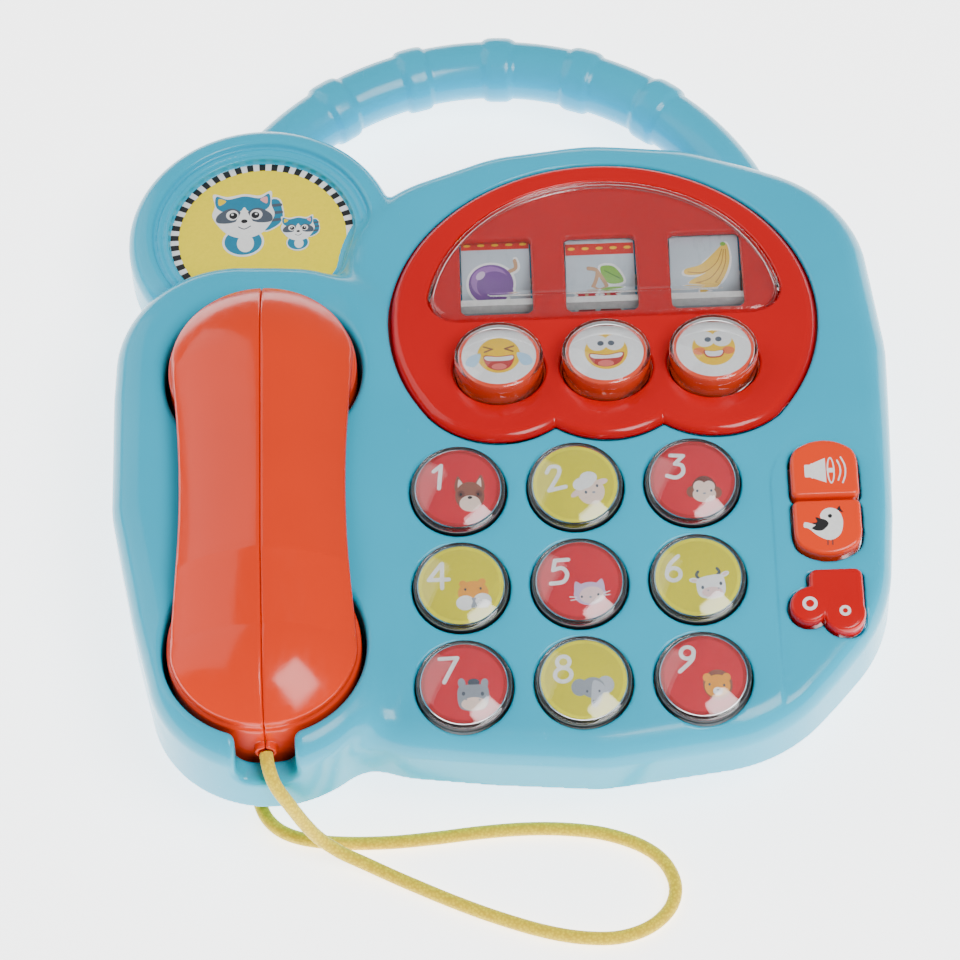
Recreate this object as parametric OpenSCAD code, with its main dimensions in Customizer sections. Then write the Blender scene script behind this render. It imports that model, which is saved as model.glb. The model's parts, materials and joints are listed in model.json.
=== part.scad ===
// Toy desk telephone with a corded handset, nine number keys, three picture
// reels with push buttons, three mode keys and a fixed carry handle.
// The toy lies on its back: +Z up, +X to the right, +Y towards the handle.
// Units are millimetres.

/* [Body] */
// Height of the keypad face above the table, at key 5
face_h = 48; // [44:1:54]
// Slope of the keypad face and of the display face, away from the ridge
slope = 7; // [4:0.5:9]
// Distance up the keypad face from key 5 to the ridge
ridge_up = 49; // [48:1:52]
// Height of the joint between front and rear shells
part_z = 20; // [18:1:22]
// Wall of the two shells
wall = 2.5; // [2:0.1:3]
// Rounding of the front edge
edge_r = 8; // [6:0.5:9]

/* [Keypad] */
// Spacing of the key columns
col_pitch = 36; // [35:0.5:38]
// Spacing of the key rows
row_pitch = 32.7; // [32:0.1:34]
// Radius of a number key hole in the front shell
key_hole_r = 15; // [14.9:0.1:15.2]
// Travel of a number key
key_travel = 2; // [1:0.1:2]

/* [Display] */
// Spacing of the three reels and their buttons
reel_pitch = 33.5; // [33:0.1:34.5]
// Radius of a picture reel
reel_r = 17.5; // [16:0.1:18]
// Width of a picture reel
reel_w = 22; // [20:0.5:23]

/* [Handset] */
// Height of the rim round the handset well
lobe_h = 50; // [48:1:52]
// Radius of the two handset cups
cup_r = 29.5; // [28:0.1:30]
// Height of the highest point of the handset's back
handset_top = 68; // [62:1:72]

/* [Carry handle] */
// Radius of the handle's centre line
handle_r = 89.5; // [87:0.5:92]
// Radius of the handle's tube
tube_r = 9.7; // [9:0.1:10]

/* [Hidden] */
$fn = 64;

// Key 5 seen from above, from the centre of the toy's footprint
key5 = [21.6, -87];
// The ridge seen from above, from key 5, and its height
ridge_y = ridge_up * cos(slope);
ridge_z = face_h + ridge_up * sin(slope);
// A short overlap for cuts
e = 0.5;

// Rounded corners of the body, from key 5: x, y, radius
keypad_corners = [[62, 44, 36], [46, 10, 50], [36, -3, 49], [4, -14.2, 42], [-45, -12, 39],
  [-50, 26, 34]];
display_corners = [[52, 85, 48], [50, 120.3, 47], [30, 129, 47], [10, 131.5, 47],
  [-10, 129, 47], [-30, 127.2, 41], [-42, 71, 34]];
// Rounded corners of the lobe that carries the handset
lobe_corners = [[-105, 88, 38], [-88, 93, 32], [-105, 38, 38.5], [-95, -21.2, 37]];
// The round ear behind the handset
ear = [-97, 143.5];
ear_r = 43.5;
ear_h = 40;
label_z = 36;
label_r = 30;
// The rear shell stands back from the front shell's edge, and more so at the table
rear_inset = 2;
rear_taper = 4;
rear_edge_r = 18;

// Handset and its two round wells
handset_x = -96;
cup_y = [80, -19];
well_gap = 1.5;
well_floor = 24;
cup_bottom = 28;
cup_top = 54;
cover_z = 57;
cover_r = 28.6;
cover_skirt = 3.5;
front_droop = 5;
droop_from = 5;
waist_r = 400;
waist_half = 25.6;
shell_t = 2.2;
collar_y = -50.8;
collar_z = 40;

// Keys, measured along the keypad face's normal
cap_r = 14.5;
disc_r = 12.9;
board_top = -15;
dome_top = -12;
mode_face = -1.2;

// Display, measured along the display face's normal
spin_y = 29.3;
axle_y = 84;
axle_h = -21.5;
axle_r = 1.5;
running = 0.05;
spin_top = 9.6;
tooth_pitch = 1.5708;

// Handle seen from above, from key 5
handle_c = [-23.4, 132.3];
handle_z = 20;
handle_start = 15;
handle_sweep = 137;
knuckles = [124, 105.3, 87, 68.8, 50.6];
knuckle_sweep = 5.8;

// Housing screw posts: x, y and the height of each post's top
posts = [[-131, 30, 48], [-59, -27, 43.5], [60, -30, 43], [84, 112, 44.5],
  [-57, 140, 41], [-131, 92, 48], [-121, 145, 35]];
post_r = 3.5;
screw_r = 1.45;

// Colours
sky = [0.25, 0.72, 0.83];
scarlet = [0.86, 0.07, 0.1];
orange = [0.93, 0.3, 0.08];
lime = [0.8, 0.78, 0.08];
cherry = [0.87, 0.1, 0.2];
clear = [0.9, 0.95, 1, 0.35];
steel = [0.7, 0.7, 0.72];
cord_yellow = [0.95, 0.75, 0.05];

// ---------- frames ----------

module from_key5() {
  translate([key5[0], key5[1], 0]) children();
}

module on_keypad() {
  translate([key5[0], key5[1], face_h]) rotate([slope, 0, 0]) children();
}

module on_display() {
  translate([key5[0], key5[1] + ridge_y, ridge_z]) rotate([-slope, 0, 0]) children();
}

function key_x(n) = ((n - 1) % 3 - 1) * col_pitch;
function key_y(n) = (1 - floor((n - 1) / 3)) * row_pitch;
function reel_x(n) = 11.5 + (n - 2) * reel_pitch;

// ---------- shells ----------

// One rounded corner of a face: a ring whose top touches the face
module face_corner(c, t, r) {
  translate([c[0], c[1], -t - r]) rotate_extrude($fn = 40) intersection() {
    translate([c[2] - t - r, 0]) circle(r = r, $fn = 16);
    translate([0, -r]) square([c[2], 2 * r]);
  }
}

module body_lobe(t, low) {
  r = edge_r - t;
  hull() {
    translate([0, 0, face_h]) rotate([slope, 0, 0])
      for (c = keypad_corners) face_corner([c[0], c[1] / cos(slope), c[2]], t, r);
    translate([0, ridge_y, ridge_z]) rotate([-slope, 0, 0])
      for (c = display_corners)
        face_corner([c[0], (c[1] - ridge_y) / cos(slope), c[2]], t, r);
    for (c = concat(keypad_corners, display_corners))
      translate([c[0], c[1], low]) cylinder(r = c[2] - t, h = 4, $fn = 40);
  }
}

module handset_lobe(t, low) {
  hull() {
    for (c = lobe_corners) translate([0, 0, lobe_h]) face_corner(c, t, edge_r - t);
    for (c = lobe_corners)
      translate([c[0], c[1], low]) cylinder(r = c[2] - t, h = 4, $fn = 40);
  }
}

module ear_outer() {
  translate([ear[0], ear[1], 0]) {
    translate([0, 0, part_z]) cylinder(r = ear_r, h = 14);
    translate([0, 0, part_z]) cylinder(r = 36, h = ear_h - part_z - 2);
    translate([0, 0, ear_h - 6]) rotate_extrude() translate([ear_r - 6, 0]) circle(r = 6);
  }
}

module ear_inner() {
  translate([ear[0], ear[1], part_z - e]) cylinder(r = ear_r - wall, h = label_z - 2.2 - part_z + e);
}

// The two round wells for the handset's cups
module wells() {
  for (y = cup_y) translate([handset_x, y, well_floor])
    cylinder(r = cup_r + well_gap, h = 60);
}

module well_walls() {
  for (y = cup_y) translate([handset_x, y, well_floor - 2])
    cylinder(r = cup_r + well_gap + 2, h = lobe_h - well_floor + 1);
}

// The red panel's outline, grown by g: a round top and three scallops below
module panel_outline(g) {
  intersection() {
    translate([11.2, 50.5]) circle(r = 67.3 + g, $fn = 128);
    union() {
      translate([-70, 18 - g]) square([160, 110]);
      for (n = [1 : 3]) translate([reel_x(n), spin_y]) circle(r = 28 + g);
    }
  }
}

// The clear window's outline, grown by g: a flat-bottomed arch with round corners
module window_outline(g) {
  corner_r = 10;
  corner_x = [-33.8, 57.8];
  corner_y = 60.2;
  intersection() {
    translate([12, 52.7]) circle(r = 56.4 + g, $fn = 128);
    translate([-60, corner_y]) square([150, 60]);
  }
  for (x = corner_x) translate([x, corner_y]) circle(r = corner_r + g);
  translate([corner_x[0], corner_y - corner_r - g])
    square([corner_x[1] - corner_x[0], corner_r + g + e]);
}

// Outlines of the three mode keys, grown by g
module sound_outline(g) {
  intersection() {
    translate([76.5, 31.6]) circle(r = 13.5 + g);
    translate([66.1 - g, 25.6 - g]) square([20.8 + 2 * g, 26]);
  }
}

module bird_outline(g) {
  intersection() {
    translate([76.5, 19.4]) circle(r = 13.5 + g);
    translate([66.1 - g, 24.6 + g - 26]) square([20.8 + 2 * g, 26]);
  }
}

module car_outline(g) {
  translate([69.3, -10.6]) circle(r = 6 + g);
  translate([79.8, -13.4]) circle(r = 6.4 + g);
  translate([69.6 - g, -12]) square([16.3 + 2 * g, 13.3 + g]);
}

module carry_tube(r) {
  translate([handle_c[0], handle_c[1], handle_z]) rotate([0, 0, handle_start])
    rotate_extrude(angle = handle_sweep) translate([handle_r, 0]) circle(r = r);
}

module front_shell() color(sky) from_key5() difference() {
  union() {
    difference() {
      union() {
        body_lobe(0, part_z);
        handset_lobe(0, part_z);
        difference() {
          ear_outer();
          translate([ear[0], ear[1], label_z]) cylinder(r = label_r + 0.3, h = 6);
        }
      }
      body_lobe(wall, part_z - e);
      handset_lobe(wall, part_z - e);
      ear_inner();
    }
    well_walls();
    for (p = posts) translate([p[0], p[1], part_z]) cylinder(r = post_r, h = p[2] - part_z);
  }
  wells();
  // the cord's channel through the rim of the well
  translate([handset_x - 9, collar_y - 20, collar_z - 6]) cube([18, 24, 40]);
  // screw pilots
  for (p = posts) translate([p[0], p[1], part_z - e]) cylinder(r = screw_r, h = 12 + e);
  carry_tube(tube_r + 0.15);
  translate([0, 0, face_h]) rotate([slope, 0, 0]) {
    for (n = [1 : 9]) translate([key_x(n), key_y(n), -8]) cylinder(r = key_hole_r, h = 12);
    translate([0, 0, -8]) linear_extrude(12) {
      sound_outline(0.45);
      bird_outline(0.45);
      car_outline(0.45);
    }
    // recessed strip that carries the mode keys
    translate([0, 0, mode_face]) linear_extrude(10)
      polygon([[59.5, -70], [59.5, 38], [64, 43], [92, 65], [130, 65], [130, -70]]);
  }
  translate([0, ridge_y, ridge_z]) rotate([-slope, 0, 0])
    translate([0, 0, -8]) linear_extrude(14) panel_outline(0.5);
}

module rear_lobe(corners, t) {
  r = rear_edge_r - t;
  hull() {
    for (c = corners) mirror([0, 0, 1])
      face_corner([c[0], c[1], c[2] - rear_inset - rear_taper], t, r);
    for (c = corners) translate([c[0], c[1], part_z - 2 + (t > 0 ? 3 : 0)])
      cylinder(r = c[2] - rear_inset - t, h = 2, $fn = 40);
  }
}

module rear_ear(t) {
  r = ear_r - rear_inset - rear_taper;
  translate([ear[0], ear[1], rear_edge_r]) cylinder(r = r - t, h = part_z - rear_edge_r + (t > 0 ? e : 0));
  translate([ear[0], ear[1], t]) cylinder(r = r - rear_edge_r, h = part_z - t);
  translate([ear[0], ear[1], rear_edge_r]) rotate_extrude() intersection() {
    translate([r - rear_edge_r, 0]) circle(r = rear_edge_r - t);
    translate([0, -rear_edge_r]) square([r, 2 * rear_edge_r]);
  }
}

module rear_solid() {
  rear_lobe(concat(keypad_corners, display_corners), 0);
  rear_lobe(lobe_corners, 0);
  intersection() {
    rear_ear(0);
    translate([ear[0], ear[1], 0]) cylinder(r = ear_r, h = part_z);
  }
}

module rear_hollow() {
  rear_lobe(concat(keypad_corners, display_corners), wall);
  rear_lobe(lobe_corners, wall);
  rear_ear(wall);
}

module rear_shell() color(sky) from_key5() difference() {
  union() {
    difference() {
      rear_solid();
      rear_hollow();
    }
    intersection() {
      rear_solid();
      for (p = posts) translate([p[0], p[1], 0]) cylinder(r = post_r + 1, h = part_z);
    }
    // battery box
    translate([-29, -1, 0]) cube([62, 50, 19]);
    translate([-33, -5, 0]) cube([70, 58, 4.5]);
    translate([37, 24, 0]) cylinder(r = 6.5, h = 12);
    // ring round the speaker
    difference() {
      translate([handset_x, 30, 1.6]) cylinder(r = 20.5, h = 6.4);
      translate([handset_x, 30, 0]) cylinder(r = 18.7, h = 20);
    }
  }
  // battery bay, and the door's seat below it
  translate([-27, 1, -1]) cube([58, 46, 18.4]);
  translate([-31, -3, -1]) cube([66, 54, 3.5]);
  translate([37, 24, -1]) cylinder(r = 5.3, h = 3.5);
  translate([30, 19, -1]) cube([7, 10, 3.5]);
  translate([37, 24, -1]) cylinder(r = 1.6, h = 11);
  // speaker grille
  translate([handset_x, 30, -1]) {
    cylinder(r = 1.4, h = 5);
    for (a = [0 : 60 : 300]) rotate([0, 0, a]) translate([5.5, 0, 0]) cylinder(r = 1.4, h = 5);
    for (a = [0 : 30 : 330]) rotate([0, 0, a]) translate([11, 0, 0]) cylinder(r = 1.4, h = 5);
  }
  // screw holes from below
  for (p = posts) translate([p[0], p[1], -1]) {
    cylinder(r = screw_r + 0.1, h = 30);
    cylinder(r = 3.2, h = 13);
  }
  // cord hole at the front, and a hollow for the knot behind it
  translate([-100, -70, 7]) rotate([-90, 0, 0]) cylinder(r = 2.4, h = 32);
  translate([-100, -38, 7]) sphere(r = 4.1);
  // power switch slot
  translate([-18, 73, -1]) cube([12.4, 5.4, 5]);
  carry_tube(tube_r + 0.15);
  // nothing stands above the joint with the front shell
  translate([-200, -100, part_z]) cube([400, 400, 40]);
}

module carry_handle() color(sky) from_key5() difference() {
  union() {
    carry_tube(tube_r);
    for (a = knuckles) translate([handle_c[0], handle_c[1], handle_z])
      rotate([0, 0, a - knuckle_sweep / 2]) rotate_extrude(angle = knuckle_sweep)
        translate([handle_r, 0]) circle(r = tube_r + 1.1);
  }
  translate([handle_c[0], handle_c[1], handle_z]) rotate([0, 0, handle_start - 1])
    rotate_extrude(angle = handle_sweep + 2) translate([handle_r, 0]) circle(r = tube_r - 2.2);
}

// Round label, cut away where the lobe and the display side cover the ear
module ear_label() color([0.94, 0.85, 0.05]) from_key5() difference() {
  translate([ear[0], ear[1], label_z]) cylinder(r = label_r, h = 0.4);
  translate([ear[0] - 40, ear[1] - 77, label_z - 1]) cube([80, 60, 3]);
  translate([-30, 127.2, label_z - 1]) cylinder(r = 41.4, h = 3);
}

// ---------- display ----------

module display_panel() color(scarlet) on_display() difference() {
  union() {
    translate([0, 0, -2]) linear_extrude(2.5) panel_outline(0);
    // hidden flange behind the front shell
    translate([0, 0, -4]) linear_extrude(1.4) intersection() {
      panel_outline(2);
      translate([-70, 14]) square([160, 110]);
    }
    translate([0, 0, -3.5]) linear_extrude(3) window_outline(1.5);
  }
  translate([0, 0, -1.5]) linear_extrude(4) window_outline(0.2);
  for (n = [1 : 3]) {
    translate([reel_x(n), spin_y, -6]) cylinder(r = 14.4, h = 10);
    translate([reel_x(n), spin_y, -6]) cylinder(r = 16.4, h = 4);
    translate([reel_x(n) - 11.4, 54.9, -6]) cube([22.8, 32.5, 8]);
  }
}

module display_window() color(clear) on_display() difference() {
  translate([0, 0, -1.5]) linear_extrude(3.5) window_outline(0);
  translate([0, 0, -2]) linear_extrude(2.8) window_outline(-1.4);
  for (n = [1 : 3]) translate([reel_x(n), spin_y, -2]) cylinder(r = 21.3, h = 5);
}

frame_screw_at = [[-33, 101.5], [-9, 101.5], [24, 101.5], [58, 101.5]];

module reel_frame() color([0.9, 0.9, 0.88]) on_display() difference() {
  union() {
    for (x = [reel_x(1) - 15, reel_x(1) + 17, reel_x(2) + 17, reel_x(3) + 17])
      translate([x, 62, -27]) cube([2, 41, 22]);
    translate([reel_x(1) - 15, 100, -8]) cube([2 * reel_pitch + 34, 3, 3.6]);
    translate([reel_x(1) - 15, 61, -8]) cube([2 * reel_pitch + 34, 2.5, 3.6]);
  }
  translate([-60, axle_y, axle_h]) rotate([0, 90, 0]) cylinder(r = axle_r, h = 150);
  for (p = frame_screw_at) translate([p[0], p[1], -9]) cylinder(r = 0.8, h = 10);
}

module reel_axle() color(steel) on_display()
  translate([-39, axle_y, axle_h]) rotate([0, 90, 0]) cylinder(r = axle_r, h = 104);

module frame_screws() color(steel) on_display()
  for (p = frame_screw_at) translate([p[0], p[1], 0]) {
    translate([0, 0, -9.2]) cylinder(r = 1.6, h = 1.2);
    translate([0, 0, -8.5]) cylinder(r = 0.8, h = 4.1);
  }

// A reel: open drum, web, hub and the pinion that its button's rack turns
module reel(n) {
  on_display() translate([reel_x(n), axle_y, axle_h]) rotate([0, 90, 0]) difference() {
    union() {
      difference() {
        translate([0, 0, -reel_w / 2]) cylinder(r = reel_r, h = reel_w);
        translate([0, 0, -reel_w / 2 - 1]) cylinder(r = reel_r - 1.5, h = reel_w - 1);
      }
      translate([0, 0, -reel_w / 2]) cylinder(r = 3.6, h = reel_w);
      translate([0, 0, reel_w / 2 - e]) cylinder(r = 1.95, h = 4 + e);
      for (a = [0 : 36 : 324]) rotate([0, 0, a])
        translate([0, 0, reel_w / 2 - e]) linear_extrude(4 + e)
          polygon([[1.75, -0.33], [2.5, -0.27], [2.95, -0.15], [2.95, 0.15], [2.5, 0.27], [1.75, 0.33]]);
    }
    translate([0, 0, -20]) cylinder(r = axle_r + running, h = 40);
  }
}

module reel_1() color([0.82, 0.86, 0.88]) reel(1);
module reel_2() color([0.82, 0.86, 0.88]) reel(2);
module reel_3() color([0.82, 0.86, 0.88]) reel(3);

module spin_cap(n) {
  dome_r = 65;
  on_display() translate([reel_x(n), spin_y, 0]) difference() {
    union() {
      translate([0, 0, -3.6]) cylinder(r = 13.9, h = 11.7);
      translate([0, 0, -3.6]) cylinder(r = 15.6, h = 1.5);
      intersection() {
        translate([0, 0, spin_top - dome_r]) sphere(r = dome_r, $fn = 160);
        cylinder(r = 13.9, h = spin_top + 1);
      }
    }
    translate([0, 0, -4]) cylinder(r = 12.7, h = 10.8);
  }
}

module spin_1_cap() color(clear) spin_cap(1);
module spin_2_cap() color(clear) spin_cap(2);
module spin_3_cap() color(clear) spin_cap(3);

// Button body, and the arm that carries the rack back to the reel's pinion
module spin_body(n) {
  rack_y = axle_y - 2.5;
  on_display() translate([reel_x(n), 0, 0]) {
    difference() {
      union() {
        translate([0, spin_y, -5]) cylinder(r = 12.6, h = 11.7);
        translate([0, spin_y, -5]) cylinder(r = 15.4, h = 1.3);
      }
      translate([0, spin_y, -5.5]) cylinder(r = 11, h = 10.5);
    }
    translate([-11.5, spin_y - 2, -9]) cube([23, 4, 5]);
    translate([9, spin_y - 2, -13]) cube([5, 4, 5]);
    translate([12, spin_y - 2, -13]) cube([2, rack_y - 0.9 - spin_y + 2, 4]);
    translate([12, rack_y - 4, -25]) cube([2, 3.1, 16]);
    for (i = [-2 : 4]) translate([12, rack_y - 1, axle_h + i * tooth_pitch])
      rotate([90, 0, 90]) linear_extrude(2)
        polygon([[0, -0.36], [1, -0.25], [1.45, -0.14], [1.45, 0.14], [1, 0.25], [0, 0.36]]);
  }
}

module spin_1_body() color(orange) spin_body(1);
module spin_2_body() color(orange) spin_body(2);
module spin_3_body() color(orange) spin_body(3);

// ---------- number keys ----------

// Clear domed cap held behind the shell by three tabs
module key_cap(n) {
  dome_r = 36.5;
  on_keypad() translate([key_x(n), key_y(n), 0]) difference() {
    union() {
      translate([0, 0, -4.1]) cylinder(r = cap_r, h = 6.3);
      intersection() {
        translate([0, 0, 5.2 - dome_r]) sphere(r = dome_r, $fn = 160);
        cylinder(r = cap_r, h = 6);
      }
      for (a = [90, 210, 330]) rotate([0, 0, a])
        translate([12.8, -3, -4.1]) cube([3.3, 6, 1.4]);
    }
    translate([0, 0, -5]) cylinder(r = disc_r + 0.15, h = 6.7);
  }
}

// Coloured disc with a stem that presses the rubber dome
module key_body(n) {
  on_keypad() translate([key_x(n), key_y(n), 0]) {
    difference() {
      translate([0, 0, -4.1]) cylinder(r = disc_r, h = 5.7);
      translate([0, 0, -5]) cylinder(r = disc_r - 1.5, h = 5);
    }
    translate([0, 0, dome_top + key_travel + 0.1]) cylinder(r = 3, h = 11);
  }
}

module key_1_cap() color(clear) key_cap(1);
module key_2_cap() color(clear) key_cap(2);
module key_3_cap() color(clear) key_cap(3);
module key_4_cap() color(clear) key_cap(4);
module key_5_cap() color(clear) key_cap(5);
module key_6_cap() color(clear) key_cap(6);
module key_7_cap() color(clear) key_cap(7);
module key_8_cap() color(clear) key_cap(8);
module key_9_cap() color(clear) key_cap(9);
module key_1_body() color(cherry) key_body(1);
module key_2_body() color(lime) key_body(2);
module key_3_body() color(cherry) key_body(3);
module key_4_body() color(lime) key_body(4);
module key_5_body() color(cherry) key_body(5);
module key_6_body() color(lime) key_body(6);
module key_7_body() color(cherry) key_body(7);
module key_8_body() color(lime) key_body(8);
module key_9_body() color(cherry) key_body(9);

// ---------- mode keys ----------

module mode_stem(x, y) {
  translate([x, y, dome_top + 1.6]) cylinder(r = 2.5, h = 8);
}

module sound_key() color(orange) on_keypad() {
  translate([0, 0, -4.2]) linear_extrude(6.6) sound_outline(0);
  translate([0, 0, -4.2]) linear_extrude(1.5) intersection() {
    sound_outline(1.4);
    translate([60, 25.6]) square([40, 30]);
  }
  mode_stem(76.5, 34);
}

module bird_key() color(orange) on_keypad() {
  translate([0, 0, -4.2]) linear_extrude(6.6) bird_outline(0);
  translate([0, 0, -4.2]) linear_extrude(1.5) intersection() {
    bird_outline(1.4);
    translate([60, 0]) square([40, 24.6]);
  }
  mode_stem(76.5, 16);
}

module car_key() color(scarlet) on_keypad() {
  translate([0, 0, -4.2]) linear_extrude(6.6) car_outline(0);
  translate([0, 0, -4.2]) linear_extrude(1.5) intersection() {
    car_outline(1.2);
    translate([55, -30]) square([20.5, 40]);
  }
  mode_stem(76.5, -7);
}

// ---------- electronics ----------

dome_at = [[76.5, 34], [76.5, 16], [76.5, -7]];
board_screw_at = [[-51, 47], [-18, -39.2], [18, -39.2], [52, 47]];

module key_membrane() color([0.75, 0.75, 0.73]) on_keypad() difference() {
  union() {
    translate([-49, -38, board_top]) cube([98, 84, 1]);
    translate([48, -9, board_top]) cube([35, 52, 1]);
    for (n = [1 : 9]) translate([key_x(n), key_y(n), board_top + 0.5])
      cylinder(r1 = 6.5, r2 = 4.5, h = dome_top - board_top - 0.5);
    for (p = dome_at) translate([p[0], p[1], board_top + 0.5])
      cylinder(r1 = 5, r2 = 3.5, h = dome_top - board_top - 0.5);
  }
  for (p = board_screw_at) translate([p[0], p[1], board_top - 1]) cylinder(r = 4, h = 4);
}

module main_board() color([0.1, 0.42, 0.2]) on_keypad() difference() {
  union() {
    translate([-55, -41, board_top - 1.6]) cube([110, 91, 1.6]);
    translate([54, -10, board_top - 1.6]) cube([30, 56, 1.6]);
  }
  for (p = board_screw_at) translate([p[0], p[1], board_top - 3]) cylinder(r = 1.4, h = 6);
}

module board_parts() color([0.12, 0.12, 0.13]) on_keypad() {
  z = board_top - 1.6;
  translate([-20, 8, z - 1.6]) cylinder(r = 9, h = 1.6);
  translate([18, 20, z - 2]) cube([9, 6, 2]);
  translate([34, 20, z - 2]) cube([7, 5, 2]);
  for (x = [-44, -36]) translate([x, 30, z - 7]) cylinder(r = 3, h = 7);
  translate([-40, -20, z - 4]) cube([10, 5, 4]);
  translate([40, -20, z - 4]) cube([6, 8, 4]);
}

module board_screws() color(steel) on_keypad()
  for (p = board_screw_at) translate([p[0], p[1], 0]) {
    translate([0, 0, board_top - 3.2]) cylinder(r = 2.4, h = 1.6);
    translate([0, 0, board_top - 1.8]) cylinder(r = 1.2, h = 5);
  }

module power_switch() color([0.15, 0.15, 0.16]) from_key5() difference() {
  translate([-20.5, 71, 2.6]) cube([17.4, 9.4, 7]);
  translate([-18, 73.4, 2]) cube([12.4, 4.6, 4.2]);
}

module power_knob() color([0.12, 0.12, 0.12]) from_key5() {
  translate([-17.8, 73.6, 0.6]) cube([5.8, 4.2, 5.4]);
}

module speaker_frame() color([0.5, 0.5, 0.52]) from_key5()
  translate([handset_x, 30, 3.2]) {
    difference() {
      cylinder(r = 18.4, h = 3);
      translate([0, 0, -1]) cylinder(r = 16, h = 5);
    }
    difference() {
      translate([0, 0, 2]) cylinder(r1 = 17.5, r2 = 10, h = 6);
      translate([0, 0, 1.9]) cylinder(r1 = 16.2, r2 = 8.7, h = 5);
    }
    translate([0, 0, 7.5]) cylinder(r = 9, h = 6);
  }

module speaker_cone() color([0.2, 0.2, 0.2]) from_key5()
  translate([handset_x, 30, 3.3]) difference() {
    cylinder(r1 = 15.8, r2 = 8.5, h = 4.5);
    translate([0, 0, -0.4]) cylinder(r1 = 15.4, r2 = 8, h = 4.4);
  }

module batteries() color([0.2, 0.22, 0.25]) from_key5()
  for (i = [0 : 2]) translate([-22.4, 9 + 15 * i, 10]) rotate([0, 90, 0]) {
    cylinder(r = 7.1, h = 49.2);
    translate([0, 0, 49]) cylinder(r = 2.7, h = 1.4);
  }

module battery_contacts() color(steel) from_key5()
  for (i = [0 : 2]) translate([0, 9 + 15 * i, 10]) {
    translate([-27, -5, -5]) cube([0.5, 10, 10]);
    translate([-26.6, 0, 0]) rotate([0, 90, 0]) cylinder(r1 = 4.2, r2 = 2.5, h = 4.1);
    translate([30.5, -5, -5]) cube([0.5, 10, 10]);
    translate([28.1, 0, 0]) rotate([0, 90, 0]) cylinder(r = 2.5, h = 2.6);
  }

// A wire laid from point to point
module wire(points) {
  for (i = [0 : len(points) - 2]) {
    d = points[i + 1] - points[i];
    translate(points[i]) rotate([0, acos(d[2] / norm(d)), atan2(d[1], d[0])])
      translate([0, 0, -0.4]) cylinder(r = 0.7, h = norm(d) + 0.8, $fn = 8);
  }
}

module wires() color([0.75, 0.1, 0.1]) from_key5() {
  wire([[-85, 33.2, 12.2], [-79, 27, 21.5], [-64, 15, 22.5], [-50, 8, 24.5], [-40, 6, 31.2]]);
  wire([[-85, 27, 12.2], [-78, 19, 21], [-62, 8, 22], [-50, 3, 23], [-40, 1, 30.6]]);
  wire([[-30.2, 40, 16], [-31, 34, 20], [-29, 24, 27], [-28, 18, 32.4]]);
  wire([[-12, 70, 9.6], [-12, 62, 22], [-8, 50, 30], [-8, 44, 36.2]]);
}

module housing_screws() color(steel) from_key5()
  for (p = posts) translate([p[0], p[1], 0]) {
    translate([0, 0, 9.6]) cylinder(r = 2.9, h = 2.3);
    translate([0, 0, 11.8]) cylinder(r = screw_r - 0.02, h = 19);
  }

// ---------- handset ----------

module pillow(r, h, drop) {
  intersection() {
    scale([1, 1, h / r]) sphere(r = r, $fn = 36);
    translate([-50, -50, 0]) cube([100, 100, 60]);
  }
  translate([0, 0, -drop]) cylinder(r = r, h = drop, $fn = 36);
}

// Long rounded back of the handset, pinched at the waist, with two cups below
module handset_solid(t) {
  difference() {
    hull() for (p = [[cup_y[0], 0], [droop_from, 0], [cup_y[1], front_droop]])
      translate([handset_x, p[0], cover_z - p[1]])
        pillow(cover_r - t, handset_top - cover_z - t, cover_skirt - t);
    // only over its cup does the cover reach lower
    difference() {
      translate([handset_x - 50, -60, 0]) cube([100, 200, cover_z - cover_skirt + t]);
      translate([handset_x, cup_y[1], 0]) cylinder(r = cup_r - t, h = 90);
    }
    for (s = [-1, 1]) translate([handset_x + s * (waist_r + waist_half - t), 30.5, 0])
      cylinder(r = waist_r, h = 80, $fn = 180);
  }
  for (i = [0, 1]) translate([handset_x, cup_y[i], cup_bottom - (t > 0 ? 1 : 0)])
    cylinder(r = cup_r - t, h = cup_top - i * front_droop - cup_bottom + (t > 0 ? 2 : 0));
}

module handset_shell() {
  difference() {
    union() {
      handset_solid(0);
      translate([handset_x, collar_y, collar_z]) rotate([-90, 0, 0]) cylinder(r = 3.4, h = 6);
    }
    handset_solid(shell_t);
    translate([handset_x, collar_y - 1, collar_z]) rotate([-90, 0, 0]) cylinder(r = 2.2, h = 8);
  }
}

module handset_left() color(orange) from_key5() intersection() {
  handset_shell();
  translate([handset_x - 60, -70, 0]) cube([60, 200, 90]);
}

module handset_right() color(orange) from_key5() intersection() {
  handset_shell();
  translate([handset_x, -70, 0]) cube([60, 200, 90]);
}

// Sound cap that closes a cup from below
module cup_cap(y) {
  from_key5() translate([handset_x, y, well_floor + 0.1]) difference() {
    union() {
      cylinder(r = cup_r - 0.4, h = cup_bottom - well_floor - 0.1);
      cylinder(r = cup_r - shell_t - 0.1, h = 7);
    }
    translate([0, 0, 2]) cylinder(r = cup_r - shell_t - 1.6, h = 8);
    for (a = [0 : 60 : 300]) rotate([0, 0, a]) translate([8, 0, -1]) cylinder(r = 1.5, h = 5);
    translate([0, 0, -1]) cylinder(r = 1.5, h = 5);
  }
}

module earpiece_cap() color(orange) cup_cap(cup_y[0]);
module mouthpiece_cap() color(orange) cup_cap(cup_y[1]);

module handset_knot() color(cord_yellow) from_key5()
  translate([handset_x, -43, collar_z]) sphere(r = 3.6);

// ---------- cord ----------

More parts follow.
